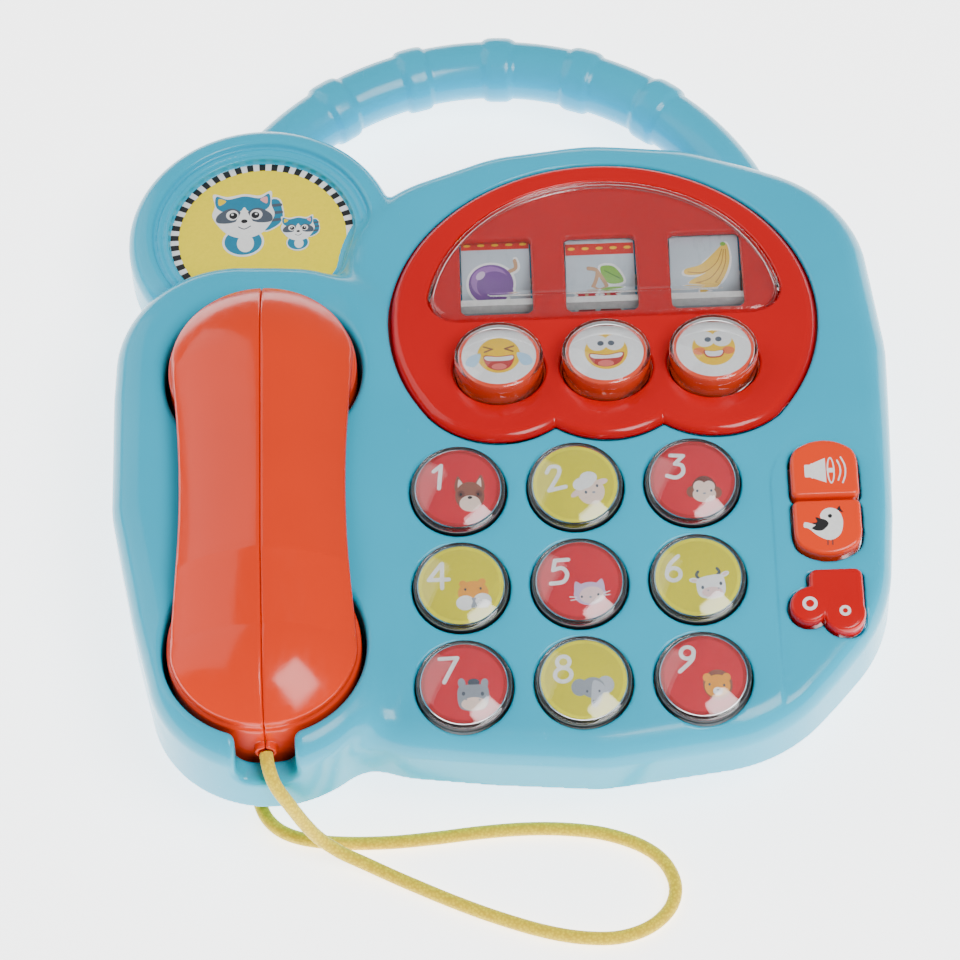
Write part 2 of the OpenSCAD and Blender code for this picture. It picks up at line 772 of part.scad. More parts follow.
// Centre line of the cord, from the handset's collar to the hole at the front
route = [[-96, -50.8, 40], [-95.2, -55.5, 39], [-93.4, -59.5, 35.4], [-89.8, -62.3, 29],
  [-85.4, -64, 19], [-81.3, -65, 11.5], [-75.2, -67, 6.2], [-68, -69.6, 3.4],
  [-61, -73, 2.4], [-54.5, -76.4, 2.2], [-41, -83.3, 2.2], [-27.6, -89.3, 2.2],
  [-14.2, -94.2, 2.2], [-2.5, -96.8, 2.2], [8.3, -97, 2.2], [17.5, -93.8, 2.2],
  [23.8, -87.6, 2.2], [25.6, -80, 2.2], [22.6, -72, 2.2], [15.8, -66, 2.2],
  [5.2, -61.6, 2.2], [-6.6, -59.5, 2.2], [-19.4, -58.9, 2.2], [-33, -59.6, 2.2],
  [-47, -61, 2.2], [-60.6, -61.9, 2.2], [-74.2, -61.6, 2.2], [-85.2, -60.2, 2.4],
  [-92.6, -57.8, 3.2], [-97.2, -54.4, 4.8], [-99.6, -50, 6.4], [-100, -46, 7],
  [-100, -41.8, 7]];
cord_r = 2.1;
cord_sides = 10;
route_steps = 2;

// A smooth curve through the route's points
function at(i) = route[max(0, min(len(route) - 1, i))];
function curve(i, t) = 0.5 * (2 * at(i) + (at(i + 1) - at(i - 1)) * t
  + (2 * at(i - 1) - 5 * at(i) + 4 * at(i + 1) - at(i + 2)) * t * t
  + (3 * at(i) - at(i - 1) - 3 * at(i + 1) + at(i + 2)) * t * t * t);
centres = [for (i = [0 : len(route) - 2], k = [0 : route_steps - 1])
  curve(i, k / route_steps)];
rings = concat(centres, [route[len(route) - 1]]);
function unit(v) = v / norm(v);
function heading(i) = i == 0 ? [0, -1, 0]
  : i == len(rings) - 1 ? [0, 1, 0]
  : unit(rings[i + 1] - rings[i - 1]);
function side(i) = unit(cross(heading(i), [0, 0, 1]));
function ring(i) = [for (k = [0 : cord_sides - 1])
  let (a = 360 * k / cord_sides)
  rings[i] + cord_r * (cos(a) * side(i) + sin(a) * cross(side(i), heading(i)))];
cord_points = [for (i = [0 : len(rings) - 1]) each ring(i)];
cord_skin = [for (i = [0 : len(rings) - 2], k = [0 : cord_sides - 1])
  [i * cord_sides + k, i * cord_sides + (k + 1) % cord_sides,
   (i + 1) * cord_sides + (k + 1) % cord_sides, (i + 1) * cord_sides + k]];
cord_ends = [[for (k = [cord_sides - 1 : -1 : 0]) k],
  [for (k = [0 : cord_sides - 1]) (len(rings) - 1) * cord_sides + k]];

module cord() color(cord_yellow) from_key5()
  polyhedron(points = cord_points, faces = concat(cord_skin, cord_ends));

module base_knot() color(cord_yellow) from_key5()
  translate([-100, -38, 7]) sphere(r = 3.8);

// ---------- battery door ----------

module battery_door() color(sky) from_key5() difference() {
  union() {
    translate([-30.7, -2.7, 0.3]) cube([65.4, 53.4, 2.1]);
    translate([34, 19.3, 0.3]) cube([3, 9.4, 2.1]);
    translate([37, 24, 0.3]) cylinder(r = 5, h = 2.1);
  }
  translate([37, 24, -1]) cylinder(r = 1.45, h = 5);
  translate([37, 24, 0]) cylinder(r = 2.9, h = 1.5);
}

module battery_door_screw() color(steel) from_key5() translate([37, 24, 0]) {
  translate([0, 0, 0.4]) cylinder(r = 2.8, h = 1.1);
  translate([0, 0, 1.4]) cylinder(r = 1.4, h = 7);
}

front_shell();
rear_shell();
carry_handle();
ear_label();
display_panel();
display_window();
reel_frame();
reel_axle();
frame_screws();
key_membrane();
main_board();
board_parts();
board_screws();
power_switch();
speaker_frame();
speaker_cone();
battery_contacts();
batteries();
wires();
housing_screws();
cord();
base_knot();
handset_left();
handset_right();
earpiece_cap();
mouthpiece_cap();
handset_knot();
key_1_cap();
key_2_cap();
key_3_cap();
key_4_cap();
key_5_cap();
key_6_cap();
key_7_cap();
key_8_cap();
key_9_cap();
key_1_body();
key_2_body();
key_3_body();
key_4_body();
key_5_body();
key_6_body();
key_7_body();
key_8_body();
key_9_body();
spin_1_cap();
spin_2_cap();
spin_3_cap();
spin_1_body();
spin_2_body();
spin_3_body();
reel_1();
reel_2();
reel_3();
sound_key();
bird_key();
car_key();
power_knob();
battery_door();
battery_door_screw();
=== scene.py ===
import json
import math

import bmesh
import bpy
import numpy as np
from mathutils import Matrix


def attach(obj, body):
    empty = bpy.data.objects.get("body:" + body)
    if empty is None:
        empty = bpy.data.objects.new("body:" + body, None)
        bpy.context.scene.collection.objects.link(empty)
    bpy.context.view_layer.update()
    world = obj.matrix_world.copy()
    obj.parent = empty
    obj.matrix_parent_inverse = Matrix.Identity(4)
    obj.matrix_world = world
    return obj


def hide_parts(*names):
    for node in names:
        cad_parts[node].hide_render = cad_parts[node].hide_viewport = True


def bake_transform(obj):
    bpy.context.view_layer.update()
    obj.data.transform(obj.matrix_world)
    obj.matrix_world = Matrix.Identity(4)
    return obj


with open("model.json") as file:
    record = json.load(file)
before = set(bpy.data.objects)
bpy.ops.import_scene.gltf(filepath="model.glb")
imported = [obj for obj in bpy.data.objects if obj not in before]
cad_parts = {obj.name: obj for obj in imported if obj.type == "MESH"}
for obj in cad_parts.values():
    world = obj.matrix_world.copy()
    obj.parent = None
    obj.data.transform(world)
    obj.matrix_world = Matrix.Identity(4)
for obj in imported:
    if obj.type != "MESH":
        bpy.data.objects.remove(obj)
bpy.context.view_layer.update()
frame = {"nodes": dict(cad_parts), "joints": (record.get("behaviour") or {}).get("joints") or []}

import openvdb
from mathutils import Matrix, Vector
from mathutils.geometry import tessellate_polygon

# Toy desk telephone on its back: +Z up, +X to the right of the keypad, +Y towards the handle.
# Shapes are worked out in millimetres and put in place in metres.
MM = 0.001

# ---------- places, from the frame ----------

nodes = frame["nodes"]
press = {j["name"]: Vector(j["axis"]).normalized() for j in frame["joints"]}
KEY_DISC_TOP = 1.6    # a key's printed disc stands this far above the keypad face
SPIN_CAP_TOP = 9.6    # a reel button's clear cap stands this far above the red panel


def face_place(node, joint, above):
    """The frame of a face that a button is pressed into: origin under the button's middle, Z out of the
    face."""
    up = -press[joint]
    right = Vector((1, 0, 0))
    back = up.cross(right)
    corners = [v.co for v in nodes[node].data.vertices]
    middle = [(max(c.dot(d) for c in corners) + min(c.dot(d) for c in corners)) / 2 for d in (right, back)]
    top = max(c.dot(up) for c in corners)
    place = Matrix((right, back, up)).transposed().to_4x4()
    place.translation = right * middle[0] + back * middle[1] + up * (top - above * MM)
    return place


SPIN_MIDDLE = (11.5, 29.3)    # the middle reel button, right of key 5 and up from the ridge
KEYPAD = face_place("key_5_body", "key_5_press", KEY_DISC_TOP)
SPIN = {n: face_place(f"spin_{n}_cap", f"spin_{n}_press", SPIN_CAP_TOP) for n in (1, 2, 3)}
DISPLAY = SPIN[2] @ Matrix.Translation(Vector((-SPIN_MIDDLE[0], -SPIN_MIDDLE[1], 0)) * MM)
KEY5 = KEYPAD.translation / MM
LEVEL = Matrix.Translation((KEY5.x * MM, KEY5.y * MM, 0))
SLOPE = math.acos(-press["key_5_press"].z)
FACE_H = KEY5.z
RIDGE = (DISPLAY.translation / MM) - KEY5
RIDGE_Y, RIDGE_Z = RIDGE.y, FACE_H + RIDGE.z

# ---------- camera ----------

CAMERA_AT = Vector((-1.51, -811.68, 1213.96))
CAMERA_AXIS = Vector((-7.56, -50.90, 52.43))
CAMERA_ROLL = -2.444
camera_data = bpy.data.cameras.new("camera")
camera_data.lens = 169.3
camera_data.sensor_width = 36
camera_data.clip_start = 0.05
camera_data.clip_end = 20
camera = bpy.data.objects.new("camera", camera_data)
look = (CAMERA_AXIS - CAMERA_AT).to_track_quat("-Z", "Y")
camera.matrix_world = (Matrix.Translation(CAMERA_AT * MM) @ look.to_matrix().to_4x4()
                       @ Matrix.Rotation(math.radians(CAMERA_ROLL), 4, "Z"))
bpy.context.scene.collection.objects.link(camera)
bpy.context.scene.camera = camera


# ---------- mesh helpers ----------

def new_piece(name, verts, faces, place=None, smooth=True, flip=False):
    """A mesh object from points in millimetres, put in place in metres."""
    mesh = bpy.data.meshes.new(name)
    points = np.asarray(verts, float) * MM
    mesh.from_pydata(points.tolist(), [], [list(f)[::-1] for f in faces] if flip else faces)
    mesh.validate()
    if place is not None:
        mesh.transform(place)
    if smooth:
        mesh.shade_smooth()
    piece = bpy.data.objects.new(name, mesh)
    bpy.context.scene.collection.objects.link(piece)
    return piece


def paint(piece, *materials):
    piece.data.materials.clear()
    for m in materials:
        piece.data.materials.append(m)
    return piece


def lathe(name, profile, place, sides=96):
    """Turns a closed (radius, height) outline round the place's Z axis."""
    verts, faces = [], []
    count = len(profile)
    for i in range(sides):
        a = 2 * math.pi * i / sides
        verts += [(r * math.cos(a), r * math.sin(a), h) for r, h in profile]
    for i in range(sides):
        j = (i + 1) % sides
        for k in range(count):
            m = (k + 1) % count
            faces.append((i * count + k, j * count + k, j * count + m, i * count + m))
    piece = new_piece(name, verts, faces, place)
    bm = bmesh.new()
    bm.from_mesh(piece.data)
    bmesh.ops.remove_doubles(bm, verts=bm.verts, dist=1e-7)
    bmesh.ops.dissolve_degenerate(bm, edges=bm.edges, dist=1e-7)
    bmesh.ops.recalc_face_normals(bm, faces=bm.faces)
    bm.to_mesh(piece.data)
    bm.free()
    piece.data.shade_smooth()
    return piece


def arc(cx, cy, r, start, end, steps):
    """Points along an arc, in degrees."""
    turn = [math.radians(start + (end - start) * i / steps) for i in range(steps + 1)]
    return [(cx + r * math.cos(a), cy + r * math.sin(a)) for a in turn]


# ---------- solid fields ----------
# A field is the distance from a surface in millimetres, negative inside.

def circle(x, y, cx, cy, r):
    return np.hypot(x - cx, y - cy) - r


def hull_of(x, y, circles, directions=144):
    """Distance from the convex outline round some circles."""
    result = None
    for i in range(directions):
        a = 2 * math.pi * i / directions
        u, v = math.cos(a), math.sin(a)
        reach = max(cx * u + cy * v + r for cx, cy, r in circles)
        d = (u * x + v * y - reach).astype(np.float32)
        result = d if result is None else np.maximum(result, d, out=result)
    return result


def both(a, b, r=0.0):
    """Where two solids overlap, with the edge rounded by r."""
    if r == 0:
        return np.maximum(a, b)
    outside = np.hypot(np.maximum(a + r, 0), np.maximum(b + r, 0))
    return np.minimum(np.maximum(a, b), -r) + outside


def join(a, b, k):
    """Two solids run together, with a fillet about k wide."""
    h = np.maximum(k - np.abs(a - b), 0) / k
    return np.minimum(a, b) - h * h * k / 4


def cut(a, b, r=0.0):
    """a without b, with the edge rounded by r."""
    return both(a, -b, r)


def box_field(x, y, z, low, high):
    sides = [np.maximum(l - v, v - h) for v, l, h in zip((x, y, z), low, high)]
    return np.maximum(np.maximum(sides[0], sides[1]), sides[2])


def cast(name, low, high, step, field, place):
    """The closed surface of a field, on a grid of that step, as a mesh."""
    lines = [np.arange(l, h + step, step, dtype=np.float32) for l, h in zip(low, high)]
    x, y, z = np.meshgrid(*lines, indexing="ij", sparse=True)
    values = np.clip(field(x, y, z), -3 * step, 3 * step)
    grid = openvdb.FloatGrid(3 * step)
    grid.copyFromArray(np.ascontiguousarray(values, dtype=np.float32))
    points, quads = grid.convertToQuads()
    points = points.astype(float) * step + np.array(low)
    a, b, c = (points[quads[:, i]] for i in (0, 1, 2))
    inward = np.einsum("ij,ij->", a, np.cross(b, c)) < 0
    return new_piece(name, points, quads.tolist(), place, flip=inward)


# ---------- materials ----------

class Nodes:
    """A material's node tree, with short calls for what the materials below share."""

    def __init__(self, name):
        self.material = bpy.data.materials.new(name)
        self.material.use_nodes = True
        self.tree = self.material.node_tree
        self.shader = self.tree.nodes["Principled BSDF"]
        self.output = self.tree.nodes["Material Output"]
        self.place = self.add("ShaderNodeTexCoord").outputs["Object"]

    def add(self, kind, **settings):
        node = self.tree.nodes.new(kind)
        for key, value in settings.items():
            setattr(node, key, value)
        return node

    def link(self, a, b):
        self.tree.links.new(a, b)

    def noise(self, scale, detail=2.0, rough=0.5, stretch=None):
        texture = self.add("ShaderNodeTexNoise")
        texture.inputs["Scale"].default_value = scale
        texture.inputs["Detail"].default_value = detail
        texture.inputs["Roughness"].default_value = rough
        if stretch:
            mapping = self.add("ShaderNodeMapping")
            mapping.inputs["Scale"].default_value = stretch
            self.link(self.place, mapping.inputs["Vector"])
            self.link(mapping.outputs["Vector"], texture.inputs["Vector"])
        else:
            self.link(self.place, texture.inputs["Vector"])
        return texture.outputs["Fac"]

    def span(self, value, low, high, from_low=0.0, from_high=1.0):
        node = self.add("ShaderNodeMapRange")
        node.inputs["From Min"].default_value = from_low
        node.inputs["From Max"].default_value = from_high
        node.inputs["To Min"].default_value = low
        node.inputs["To Max"].default_value = high
        self.link(value, node.inputs["Value"])
        return node.outputs["Result"]

    def blend(self, value, *stops):
        ramp = self.add("ShaderNodeValToRGB")
        while len(ramp.color_ramp.elements) < len(stops):
            ramp.color_ramp.elements.new(0.5)
        for element, (at, colour) in zip(ramp.color_ramp.elements, stops):
            element.position = at
            element.color = (*colour, 1)
        self.link(value, ramp.inputs["Fac"])
        return ramp.outputs["Color"]

    def bump(self, height, strength, distance):
        node = self.add("ShaderNodeBump")
        node.inputs["Strength"].default_value = strength
        node.inputs["Distance"].default_value = distance
        self.link(height, node.inputs["Height"])
        self.link(node.outputs["Normal"], self.shader.inputs["Normal"])
        return node


def shade(colour, factor):
    return tuple(min(1.0, c * factor) for c in colour)


def moulded(name, colour, rough=0.2, coat=0.08, variation=0.05, glow=0.0):
    """Moulded plastic: slow colour drift, fine handling marks in the gloss, a faint flow texture."""
    n = Nodes(name)
    drift = n.noise(14, 3, 0.55)
    n.link(n.blend(drift, (0.3, shade(colour, 1 - variation)), (0.7, shade(colour, 1 + variation))),
           n.shader.inputs["Base Color"])
    marks = n.noise(420, 4, 0.65, stretch=(1, 0.25, 1))
    n.link(n.span(marks, rough - 0.05, rough + 0.09, 0.35, 0.75), n.shader.inputs["Roughness"])
    n.bump(n.noise(160, 2, 0.4), 0.12, 0.0004)
    n.shader.inputs["Coat Weight"].default_value = coat
    n.shader.inputs["Coat Roughness"].default_value = 0.06
    n.shader.inputs["IOR"].default_value = 1.5
    n.shader.inputs["Specular IOR Level"].default_value = 0.34
    n.shader.inputs["Subsurface Weight"].default_value = glow
    n.shader.inputs["Subsurface Radius"].default_value = (0.004, 0.003, 0.002)
    n.shader.inputs["Subsurface Scale"].default_value = 1.0
    return n.material


def printed_ink(name, colour, rough=0.35):
    """Ink on plastic or paper: slightly uneven coverage."""
    n = Nodes(name)
    cover = n.noise(900, 3, 0.6)
    n.link(n.blend(cover, (0.3, shade(colour, 0.93)), (0.65, colour)), n.shader.inputs["Base Color"])
    n.link(n.span(n.noise(300, 2, 0.5), rough - 0.06, rough + 0.08), n.shader.inputs["Roughness"])
    n.bump(cover, 0.08, 0.0001)
    return n.material


def clear_plastic(name, tint=(0.97, 0.985, 1.0), rough=0.02):
    """Clear styrene: it bends what is behind it, and lets the lamps through to it."""
    n = Nodes(name)
    n.shader.inputs["Base Color"].default_value = (*tint, 1)
    n.shader.inputs["Transmission Weight"].default_value = 1.0
    n.shader.inputs["IOR"].default_value = 1.49
    n.link(n.span(n.noise(60, 2, 0.5), rough, rough + 0.03, 0.4, 0.8), n.shader.inputs["Roughness"])
    n.bump(n.noise(25, 1, 0.4), 0.05, 0.0003)
    see_through = n.add("ShaderNodeBsdfTransparent")
    see_through.inputs["Color"].default_value = (0.42, 0.43, 0.44, 1)
    shadow = n.add("ShaderNodeLightPath").outputs["Is Shadow Ray"]
    mix = n.add("ShaderNodeMixShader")
    n.link(shadow, mix.inputs["Fac"])
    n.link(n.shader.outputs["BSDF"], mix.inputs[1])
    n.link(see_through.outputs["BSDF"], mix.inputs[2])
    n.link(mix.outputs["Shader"], n.output.inputs["Surface"])
    return n.material


def metal(name, colour, rough=0.3):
    n = Nodes(name)
    n.shader.inputs["Metallic"].default_value = 1.0
    brushed = n.noise(700, 4, 0.6, stretch=(1, 0.1, 1))
    n.link(n.blend(n.noise(40, 3), (0.3, shade(colour, 0.9)), (0.7, colour)), n.shader.inputs["Base Color"])
    n.link(n.span(brushed, rough - 0.1, rough + 0.12), n.shader.inputs["Roughness"])
    n.bump(brushed, 0.15, 0.0002)
    return n.material


def matte(name, colour, rough=0.6, grain=500):
    n = Nodes(name)
    speckle = n.noise(grain, 4, 0.6)
    n.link(n.blend(speckle, (0.3, shade(colour, 0.88)), (0.7, shade(colour, 1.06))),
           n.shader.inputs["Base Color"])
    n.link(n.span(speckle, rough - 0.08, rough + 0.1), n.shader.inputs["Roughness"])
    n.bump(speckle, 0.2, 0.0003)
    return n.material


SKY = (0.002, 0.44, 0.66)
SCARLET = (0.56, 0.0005, 0.002)
ORANGE = (0.78, 0.036, 0.0008)
DEEP_RED = (0.62, 0.008, 0.004)
KEY_RED = (0.74, 0.002, 0.012)
KEY_GREEN = (0.62, 0.52, 0.001)
CORD_YELLOW = (1.0, 0.66, 0.0005)

sky_plastic = moulded("sky_blue_plastic", SKY)
scarlet_plastic = moulded("scarlet_plastic", SCARLET, rough=0.16)
deep_red_plastic = moulded("deep_red_plastic", DEEP_RED, rough=0.25)
handset_plastic = moulded("handset_plastic", ORANGE, rough=0.17)
button_plastic = moulded("button_plastic", (0.84, 0.045, 0.003), rough=0.18)
reel_plastic = moulded("reel_plastic", (0.50, 0.57, 0.62), rough=0.3, coat=0.2)
key_red_plastic = moulded("key_red_plastic", KEY_RED)
key_green_plastic = moulded("key_green_plastic", KEY_GREEN)
clear = clear_plastic("clear_styrene")
steel = metal("plated_steel", (0.56, 0.56, 0.58))
black_plastic = matte("black_plastic", (0.02, 0.02, 0.022), 0.5)
# painted shade: a black for the dark gap seen through the clear key caps' edges
gap_shade_black = matte("painted_gap_shade", (0.012, 0.011, 0.012), 0.35)
white_plastic = matte("white_plastic", (0.75, 0.75, 0.72), 0.45)
board_green = matte("solder_mask", (0.015, 0.13, 0.04), 0.35, grain=900)
dome_rubber = matte("dome_rubber", (0.55, 0.55, 0.53), 0.7)
wire_red = matte("wire_jacket", (0.45, 0.02, 0.02), 0.5)
cell_jacket = matte("cell_jacket", (0.03, 0.05, 0.1), 0.3)

# ---------- cord: first of all the pieces ----------

# Centre line from the handset's collar to the hole at the front, from key 5, in millimetres
CORD_ROUTE = [
    (-96, -50.8, 40), (-95.2, -55.5, 39), (-93.4, -59.5, 35.4), (-89.8, -62.3, 29), (-85.4, -64, 19),
    (-81.3, -65, 11.5), (-75.2, -67, 6.2), (-68, -69.6, 3.4), (-61, -73, 2.4), (-54.5, -76.4, 2.2),
    (-41, -83.3, 2.2), (-27.6, -89.3, 2.2), (-14.2, -94.2, 2.2), (-2.5, -96.8, 2.2), (8.3, -97, 2.2),
    (17.5, -93.8, 2.2), (23.8, -87.6, 2.2), (25.6, -80, 2.2), (22.6, -72, 2.2), (15.8, -66, 2.2),
    (5.2, -61.6, 2.2), (-6.6, -59.5, 2.2), (-19.4, -58.9, 2.2), (-33, -59.6, 2.2), (-47, -61, 2.2),
    (-60.6, -61.9, 2.2), (-74.2, -61.6, 2.2), (-85.2, -60.2, 2.4), (-92.6, -57.8, 3.2),
    (-97.2, -54.4, 4.8), (-99.6, -50, 6.4), (-100, -46, 7), (-100, -41.8, 7)]
CORD_R = 2.1


def through(points, steps):
    """A smooth curve through points, with some steps to each stretch."""
    pts = [np.array(p, float) for p in points]
    at = lambda i: pts[max(0, min(len(pts) - 1, i))]
    curve = []
    for i in range(len(pts) - 1):
        p0, p1, p2, p3 = at(i - 1), at(i), at(i + 1), at(i + 2)
        for k in range(steps):
            t = k / steps
            curve.append(0.5 * (2 * p1 + (p2 - p0) * t + (2 * p0 - 5 * p1 + 4 * p2 - p3) * t * t
                                + (3 * p1 - p0 - 3 * p2 + p3) * t ** 3))
    curve.append(pts[-1])
    return curve


def length_of(points):
    return sum(float(np.linalg.norm(b - a)) for a, b in zip(points, points[1:]))


def evenly(points, gap):
    """Points along a line, each about gap from the last."""
    total = length_of(points)
    count = max(2, round(total / gap))
    runs = np.cumsum([0] + [float(np.linalg.norm(b - a)) for a, b in zip(points, points[1:])])
    wanted = np.linspace(0, total, count + 1)
    rows = np.array(points)
    return [np.array([np.interp(w, runs, rows[:, k]) for k in range(3)]) for w in wanted]


def tube(name, line, radius_at, sides, place, material):
    """A closed tube along a line; radius_at(distance along, angle) gives its surface."""
    verts, faces = [], []
    ahead = line[1] - line[0]
    side = np.cross(ahead, (0, 0, 1))
    side /= np.linalg.norm(side)
    run = 0.0
    for i, point in enumerate(line):
        ahead = line[min(i + 1, len(line) - 1)] - line[max(i - 1, 0)]
        ahead = ahead / np.linalg.norm(ahead)
        side = side - ahead * side.dot(ahead)
        side /= np.linalg.norm(side)
        up = np.cross(side, ahead)
        if i:
            run += float(np.linalg.norm(point - line[i - 1]))
        for k in range(sides):
            a = 2 * math.pi * k / sides
            verts.append(point + radius_at(run, a) * (math.cos(a) * side + math.sin(a) * up))
    for i in range(len(line) - 1):
        for k in range(sides):
            m = (k + 1) % sides
            faces.append((i * sides + k, i * sides + m, (i + 1) * sides + m, (i + 1) * sides + k))
    last = (len(line) - 1) * sides
    verts += [line[0], line[-1]]
    for k in range(sides):
        m = (k + 1) % sides
        faces.append((len(verts) - 2, m, k))
        faces.append((len(verts) - 1, last + k, last + m))
    piece = new_piece(name, verts, faces, place)
    bm = bmesh.new()
    bm.from_mesh(piece.data)
    bmesh.ops.recalc_face_normals(bm, faces=bm.faces)
    bm.to_mesh(piece.data)
    bm.free()
    return paint(piece, material)


def braid_material():
    """Woven yellow yarn: two crossing sets of strands, with painted light on their crowns and painted shade between
    them.
    """
    n = Nodes("braided_yellow")
    weave_and_shade = n.add("ShaderNodeTexVoronoi")
    weave_and_shade.inputs["Scale"].default_value = 1100
    n.link(n.place, weave_and_shade.inputs["Vector"])
    # painted light and shade: lighter on the strands' crowns, darker in the creases between them
    n.link(n.blend(weave_and_shade.outputs["Distance"], (0.1, shade(CORD_YELLOW, 1.12)),
        (0.7, shade(CORD_YELLOW, 0.72))),
           n.shader.inputs["Base Color"])
    n.shader.inputs["Sheen Weight"].default_value = 0.35
    n.shader.inputs["Sheen Roughness"].default_value = 0.4
    n.link(n.span(n.noise(800, 3), 0.6, 0.85), n.shader.inputs["Roughness"])
    n.bump(weave_and_shade.outputs["Distance"], 0.35, 0.0003)
    return n.material


BRAID_TURN = 9.0      # length in which a strand of the braid goes once round
BRAID_STRANDS = 8


def braid_radius(run, a):
    """Crossing strands of the braid raise and lower the surface."""
    turn = 2 * math.pi * run / BRAID_TURN
    left = math.cos(BRAID_STRANDS * (a - turn) / 2)
    right = math.cos(BRAID_STRANDS * (a + turn) / 2)
    return CORD_R - 0.16 + 0.16 * max(abs(left), abs(right))


cord_line = evenly(through(CORD_ROUTE, 12), 0.45)
yellow_braid = braid_material()
cord = tube("cord_braid", cord_line, braid_radius, 32, LEVEL, yellow_braid)
cord_path = [LEVEL @ (Vector(p) * MM) for p in cord_line[::6] + [cord_line[-1]]]
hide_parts("cord")
LIFT_START = cord_path[0]
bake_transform(cord)
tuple(LIFT_START)
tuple(cord_path[-1])
length_of(cord_line) * MM

# ---------- shells ----------

EDGE_R = 8.0
WALL = 2.5
PART_Z = 20.0
LOBE_H = 50.0
KEYPAD_CORNERS = [(62, 44, 36), (46, 10, 50), (36, -3, 49), (4, -14.2, 42), (-45, -12, 39), (-50, 26, 34)]
DISPLAY_CORNERS = [(52, 85, 48), (50, 120.3, 47), (30, 129, 47), (10, 131.5, 47), (-10, 129, 47),
                   (-30, 127.2, 41), (-42, 71, 34)]
LOBE_CORNERS = [(-105, 88, 38), (-88, 93, 32), (-105, 38, 38.5), (-95, -21.2, 37)]
EAR = (-97, 143.5, 43.5)
EAR_H = 40.0
LABEL_Z = 36.0
LABEL_R = 30.0
REAR_INSET = 6.0
REAR_EDGE_R = 18.0
HANDSET_X = -96.0
CUP_Y = (80.0, -19.0)
CUP_R = 29.5
WELL_FLOOR = 24.0
KEY_HOLE_R = 15.0
HANDLE_C = (-23.4, 132.3)
HANDLE_R = 89.5
TUBE_R = 9.7
KNUCKLES = (124, 105.3, 87, 68.8, 50.6)
KEY_AT = {n: (((n - 1) % 3 - 1) * 36.0, (1 - (n - 1) // 3) * 32.7) for n in range(1, 10)}
SPIN_AT = {n: (SPIN_MIDDLE[0] + (n - 2) * 33.5, SPIN_MIDDLE[1]) for n in (1, 2, 3)}
POSTS = [(-131, 30, 48), (-59, -27, 43.5), (60, -30, 43), (84, 112, 44.5), (-57, 140, 41), (-131, 92, 48),
         (-121, 145, 35)]


def tilted(y, z, y0, z0, slope):
    """A point's place up a sloping face, and its height above that face."""
    c, s = math.cos(slope), math.sin(slope)
    return (y - y0) * c + (z - z0) * s, (z - z0) * c - (y - y0) * s


def body_and_lobe(x, y, z):
    """The outside of the body and of the handset's lobe, run together."""
    keypad_h = tilted(y, z, 0, FACE_H, SLOPE)[1]
    display_h = tilted(y, z, RIDGE_Y, RIDGE_Z, -SLOPE)[1]
    crown = -join(-keypad_h, -display_h, 5.0)
    body = both(hull_of(x, y, KEYPAD_CORNERS + DISPLAY_CORNERS), crown, EDGE_R + 1)
    lobe = both(hull_of(x, y, LOBE_CORNERS), z - LOBE_H, EDGE_R + 1)
    return join(body, lobe, 9.0)


def wells(x, y, z):
    """The two round wells and the cord's way out."""
    deep = np.minimum(*(circle(x, y, HANDSET_X, cy, CUP_R + 1.5) for cy in CUP_Y))
    deep = both(deep, WELL_FLOOR - z, 2.0)
    channel = both(both(np.abs(x - HANDSET_X) - 9, both(y + 46, -72 - y)), 34.5 - z, 4.0)
    return join(deep, channel, 2.0)


def sound_shape(x, y, g):
    corner = both(np.abs(x - 76.5) - 10.4 - g, 25.6 - g - y, 2.0)
    return both(circle(x, y, 76.5, 31.6, 13.5 + g), corner, 2.0)


def bird_shape(x, y, g):
    corner = both(np.abs(x - 76.5) - 10.4 - g, y - 24.6 - g, 2.0)
    return both(circle(x, y, 76.5, 19.4, 13.5 + g), corner, 2.0)


def car_shape(x, y, g):
    cab = both(np.abs(x - 77.75) - 8.15 - g, both(-12 - y, y - 1.3 - g, 0), 2.5)
    nose = both(np.abs(x - 73) - 5 - g, both(-12 - y, y + 4.6 - g, 0), 1.0)
    wheels = np.minimum(circle(x, y, 69.3, -10.6, 6 + g), circle(x, y, 79.8, -13.4, 6.4 + g))
    return join(np.minimum(cab, nose), wheels, 1.0)


def panel_shape(x, y, g):
    """The red panel's outline: one round form over three scallops."""
    scallops = np.minimum.reduce([circle(x, y, *SPIN_AT[n], 28 + g) for n in SPIN_AT])
    return both(circle(x, y, 11.2, 50.5, 67.3 + g), np.minimum(18 - y, scallops))


def cover_shape(x, y, g):
    """The clear cover's outline: a flat-bottomed arch with round corners."""
    arch = both(circle(x, y, 12, 52.7, 56.4 + g), 60.2 - y)
    foot = both(np.abs(x - 12) - 45.8, both(50.2 - g - y, y - 60.7))
    ends = np.minimum(circle(x, y, -33.8, 60.2, 10 + g), circle(x, y, 57.8, 60.2, 10 + g))
    return np.minimum(np.minimum(arch, foot), ends)


def strip_shape(x, y):
    """The recessed strip that carries the mode keys: right of one line, below another."""
    slant = ((x - 59.5) * 21.5 - (y - 41) * 28.5) / math.hypot(21.5, 28.5)
    return both(60.0 - x, -slant, 8.0)


def ear_cuts(x, y, z):
    """Two fine grooves round the label, and its recess."""
    d = np.hypot(x - EAR[0], y - EAR[1])
    dish = both(d - 35.6, EAR_H - 1.5 - z, 1.2)
    grooves = np.minimum(np.hypot(d - 34.6, z - EAR_H + 1.6), np.hypot(d - 32.2, z - EAR_H + 1.6)) - 0.6
    recess = both(d - LABEL_R - 0.3, LABEL_Z - z, 0.3)
    return np.minimum(np.minimum(dish, grooves), recess)


def handle_bed(x, y, z):
    ring = np.hypot(x - HANDLE_C[0], y - HANDLE_C[1]) - HANDLE_R
    return np.hypot(ring, z - PART_Z) - TUBE_R - 0.15


